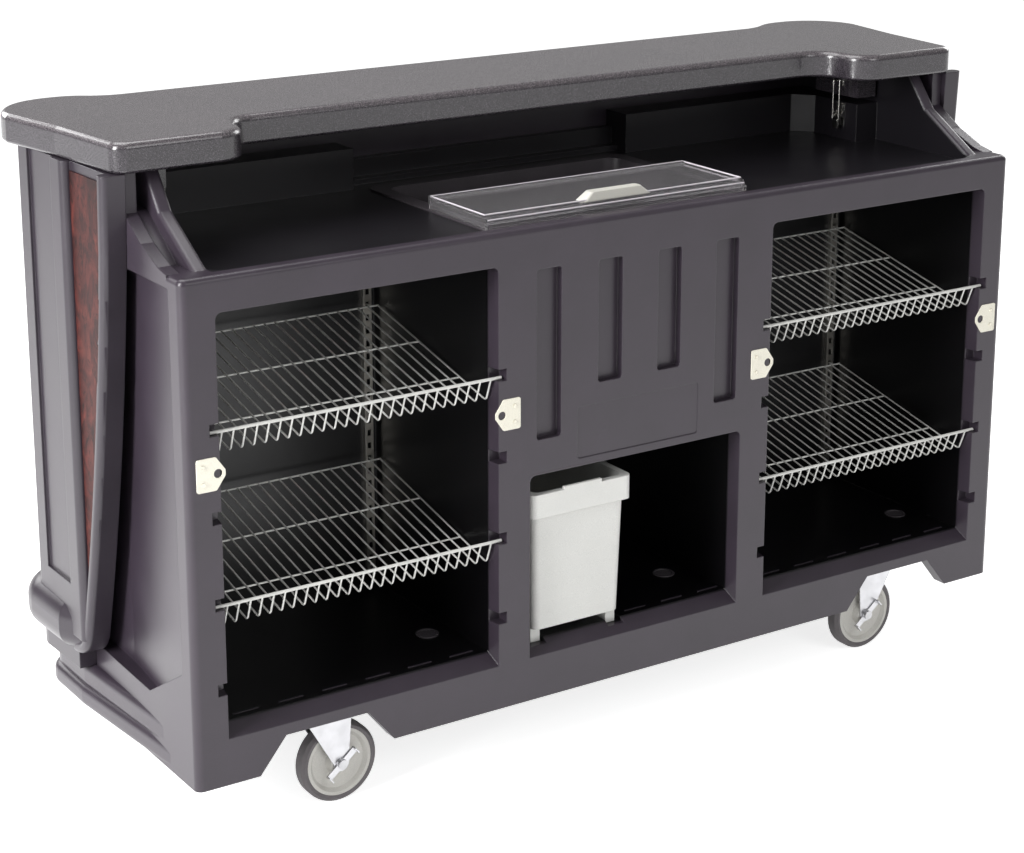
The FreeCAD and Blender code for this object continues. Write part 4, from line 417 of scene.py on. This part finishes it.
def rounded_path(points, radius, steps=5):
    """Polyline with its inner corners rounded."""
    result = [Vector(points[0])]
    for before, corner, after in zip(points, points[1:], points[2:]):
        corner = Vector(corner)
        start = (Vector(before) - corner).normalized() * radius + corner
        end = (Vector(after) - corner).normalized() * radius + corner
        for step in range(steps + 1):
            t = step / steps
            result.append(start * (1 - t) ** 2 + corner * 2 * t * (1 - t) + end * t ** 2)
    result.append(Vector(points[-1]))
    return result


# Racks in round wire

FACE = -0.3325
RAIL_RADIUS = 0.003
WIRE_RADIUS = 0.0017
RAIL_DEPTH = 0.012
LIP_LEAN = 0.016
LIP_TALL = 0.042
BACK_RISE = 0.046
BACK_DEPTH = 0.407
RAIL_SINK = 0.6  # how far the wires' front ends lie into the rail, in rail radii
WIRES = 25
PITCH = 0.022
BAY_MIDDLE = 0.5835
RAIL_HALF = 0.2865
UPPER_RAIL = 0.7483
LOWER_RAIL = 0.4403
WIRE_BEND = 0.008
CROSS_WIRE_DEPTHS = (0.12, 0.262)
TAB_SIDE = 0.2495
TAB_LONG = 0.017


def make_rack(name, middle, height):
    """One can rack: rail, formed wires, cross wires and rear tabs."""
    rail_y = FACE + RAIL_DEPTH
    back_y = FACE + BACK_DEPTH
    foot_y = rail_y + LIP_LEAN
    thick = wire_curve("rail_" + name, [
        [(middle - RAIL_HALF, rail_y, height), (middle + RAIL_HALF, rail_y, height)],
    ], RAIL_RADIUS, "rack_" + name, "rack_wire", 5)
    wires = []
    half = (WIRES - 1) / 2 * PITCH
    for index in range(WIRES):
        x = middle - half + index * PITCH
        wires.append(rounded_path([
            (x, rail_y - RAIL_RADIUS * RAIL_SINK, height),
            (x, foot_y - RAIL_RADIUS * RAIL_SINK, height - LIP_TALL),
            (x, back_y, height + BACK_RISE),
        ], WIRE_BEND))
    slope = (BACK_RISE + LIP_TALL) / (back_y - foot_y)
    for depth in CROSS_WIRE_DEPTHS:
        y = FACE + depth
        z = height - LIP_TALL + slope * (y - foot_y) - WIRE_RADIUS * 2
        wires.append([(middle - half - WIRE_RADIUS, y, z), (middle + half + WIRE_RADIUS, y, z)])
    wires.append([(middle - half - WIRE_RADIUS, back_y, height + BACK_RISE),
                  (middle + half + WIRE_RADIUS, back_y, height + BACK_RISE)])
    for side in (-1, 1):
        x = middle + side * TAB_SIDE
        wires.append([(x, back_y, height + BACK_RISE), (x, back_y + TAB_LONG, height + BACK_RISE)])
    thin = wire_curve("wires_" + name, wires, WIRE_RADIUS, "rack_" + name, "rack_wire", 3)
    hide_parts("rack_" + name)
    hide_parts("rack_" + name)


for side_name, side in (("left", -1), ("right", 1)):
    make_rack("upper_" + side_name, side * BAY_MIDDLE, UPPER_RAIL)
    make_rack("lower_" + side_name, side * BAY_MIDDLE, LOWER_RAIL)


# Slots moulded in the compartments' floors, behind the sill

PILL_STEPS = 8
SLOT_LONG = 0.05
SLOT_WIDE = 0.005
SLOT_TALL = 0.0012
SLOT_PITCH = 0.088
BAY_SLOTS = 6
BAY_SLOT_START = 0.363
CENTRE_SLOTS = 3
CENTRE_SLOT_START = 0.03
SLOT_DEPTHS = (0.045, 0.4)
FLOOR = 0.222


def pill(name, places, long, wide, tall, body, slot_name):
    """Flat strips with round ends, one at each place, in one mesh."""
    vertices = []
    faces = []
    for x, y, z in places:
        ring = []
        for end, start in ((1, -math.pi / 2), (-1, math.pi / 2)):
            for step in range(PILL_STEPS + 1):
                angle = start + step * math.pi / PILL_STEPS
                ring.append((x + end * (long - wide) / 2 + math.cos(angle) * wide / 2,
                             y + math.sin(angle) * wide / 2))
        first = len(vertices)
        count = len(ring)
        vertices += [(a, b, z) for a, b in ring] + [(a, b, z + tall) for a, b in ring]
        faces.append(tuple(first + index for index in reversed(range(count))))
        faces.append(tuple(first + count + index for index in range(count)))
        faces += [(first + index, first + (index + 1) % count, first + count + (index + 1) % count,
                   first + count + index) for index in range(count)]
    mesh = bpy.data.meshes.new(name)
    mesh.from_pydata(vertices, [], faces)
    piece = bpy.data.objects.new(name, mesh)
    scene.collection.objects.link(piece)
    mesh.materials.append(MATERIALS[slot_name])
    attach(piece, body)


slot_places = [(side * (BAY_SLOT_START + index * SLOT_PITCH), FACE + SLOT_DEPTHS[0], FLOOR)
               for side in (-1, 1) for index in range(BAY_SLOTS)]
slot_places += [(CENTRE_SLOT_START + index * SLOT_PITCH, FACE + depth, FLOOR)
                for index in range(CENTRE_SLOTS) for depth in SLOT_DEPTHS]
# The lips are raised geometry; they take the shell moulding without the painted shade of the floor around them, so
# they show lighter, partly a painted highlight for the gleam on the real lips.
pill("floor_slot_lips", slot_places, SLOT_LONG, SLOT_WIDE, SLOT_TALL, "bar", "shell_plastic")

# Moulded rails along the clear lid's front edge and its ends, in a pale colour that is a painted highlight for the
# light the clear edges catch

LID_HALF = 0.289
LID_FRONT = FACE + 0.066
LID_RIDGE = LID_FRONT + 0.011
LID_BACK = LID_FRONT + 0.193
LID_TOP = 1.0302
LID_STEP = 1.0222
LID_EDGE_RADIUS = 0.0016

wire_curve("lid_front_rails", [
    [(-LID_HALF, LID_FRONT, LID_STEP), (LID_HALF, LID_FRONT, LID_STEP)],
    [(-LID_HALF, LID_RIDGE, LID_TOP), (LID_HALF, LID_RIDGE, LID_TOP)],
    [(-LID_HALF, LID_BACK, LID_TOP), (LID_HALF, LID_BACK, LID_TOP)],
    [(-LID_HALF, LID_RIDGE, LID_TOP), (-LID_HALF, LID_BACK, LID_TOP)],
    [(LID_HALF, LID_RIDGE, LID_TOP), (LID_HALF, LID_BACK, LID_TOP)],
], LID_EDGE_RADIUS, "lid", "clear_plastic", 4, "lid_edge_highlight")


# Stage: pale floor that keeps the shadow, a world that is white to the camera, and lamps

FLOOR_HALF = 14.0
FLOOR_GLOW = 0.78
WORLD_LIGHT = 0.34


def stage_material():
    """Pale floor that shows white to the camera and keeps the shadow."""
    n = Nodes("stage floor")
    where = n.coords()
    cloud = n.noise(where, 2.0, 2.0)
    n.colour(n.ramp(cloud, [(0.3, (0.86, 0.86, 0.86)), (0.7, (0.9, 0.9, 0.9))]))
    n.finish(0.9)
    path = n.add("ShaderNodeLightPath")
    seen = n.maths("MAXIMUM", path.outputs["Is Camera Ray"], path.outputs["Is Glossy Ray"])
    seen = n.maths("MAXIMUM", seen, path.outputs["Is Transmission Ray"])
    glow = n.add("ShaderNodeEmission")
    glow.inputs["Color"].default_value = (1, 1, 1, 1)
    n.join(n.maths("MULTIPLY", seen, FLOOR_GLOW), glow.inputs["Strength"])
    total = n.add("ShaderNodeAddShader")
    n.join(n.shader.outputs["BSDF"], total.inputs[0])
    n.join(glow.outputs["Emission"], total.inputs[1])
    n.join(total.outputs["Shader"], n.out.inputs["Surface"])
    return n.material


def make_stage():
    """Floor plane with the stage material."""
    mesh = bpy.data.meshes.new("stage_floor")
    corners = [(x * FLOOR_HALF, y * FLOOR_HALF, 0) for x, y in ((-1, -1), (1, -1), (1, 1), (-1, 1))]
    mesh.from_pydata(corners, [], [(0, 1, 2, 3)])
    floor = bpy.data.objects.new("stage_floor", mesh)
    scene.collection.objects.link(floor)
    mesh.materials.append(stage_material())


make_stage()

world = bpy.data.worlds.new("world")
scene.world = world
world.use_nodes = True
tree = world.node_tree
background = tree.nodes["Background"]
path = tree.nodes.new("ShaderNodeLightPath")
first = tree.nodes.new("ShaderNodeMath")
first.operation = "MAXIMUM"
tree.links.new(path.outputs["Is Camera Ray"], first.inputs[0])
tree.links.new(path.outputs["Is Transmission Ray"], first.inputs[1])
strength = tree.nodes.new("ShaderNodeMapRange")
strength.inputs["To Min"].default_value = WORLD_LIGHT
strength.inputs["To Max"].default_value = 1.0
tree.links.new(first.outputs[0], strength.inputs["Value"])
tree.links.new(strength.outputs["Result"], background.inputs["Strength"])
background.inputs["Color"].default_value = (1, 1, 1, 1)


def add_lamp(name, place, target, wide, tall, power):
    """Soft rectangular lamp aimed at a point."""
    data = bpy.data.lights.new(name, "AREA")
    data.shape = "RECTANGLE"
    data.size = wide
    data.size_y = tall
    data.energy = power
    lamp = bpy.data.objects.new(name, data)
    scene.collection.objects.link(lamp)
    lamp.location = place
    lamp.rotation_mode = "QUATERNION"
    lamp.rotation_quaternion = (Vector(target) - Vector(place)).to_track_quat("-Z", "Y")


LAMPS = (
    # name, place, target, width, height, power
    ("key", (-4.2, -0.8, 2.2), (-0.8, 0.0, 0.6), 1.4, 2.6, 235),
    ("front", (0.6, -5.0, 3.2), (0.0, 0.0, 0.6), 2.4, 2.4, 58),
    ("top", (-0.6, 0.6, 3.6), (0.0, 0.0, 0.9), 2.4, 2.4, 70),
    ("side", (4.6, 1.2, 2.8), (0.0, 0.0, 0.8), 2.4, 2.4, 90),
    ("rear", (-1.6, 4.6, 2.6), (0.0, 0.0, 0.8), 2.4, 2.4, 90),
)
for lamp in LAMPS:
    add_lamp(*lamp)
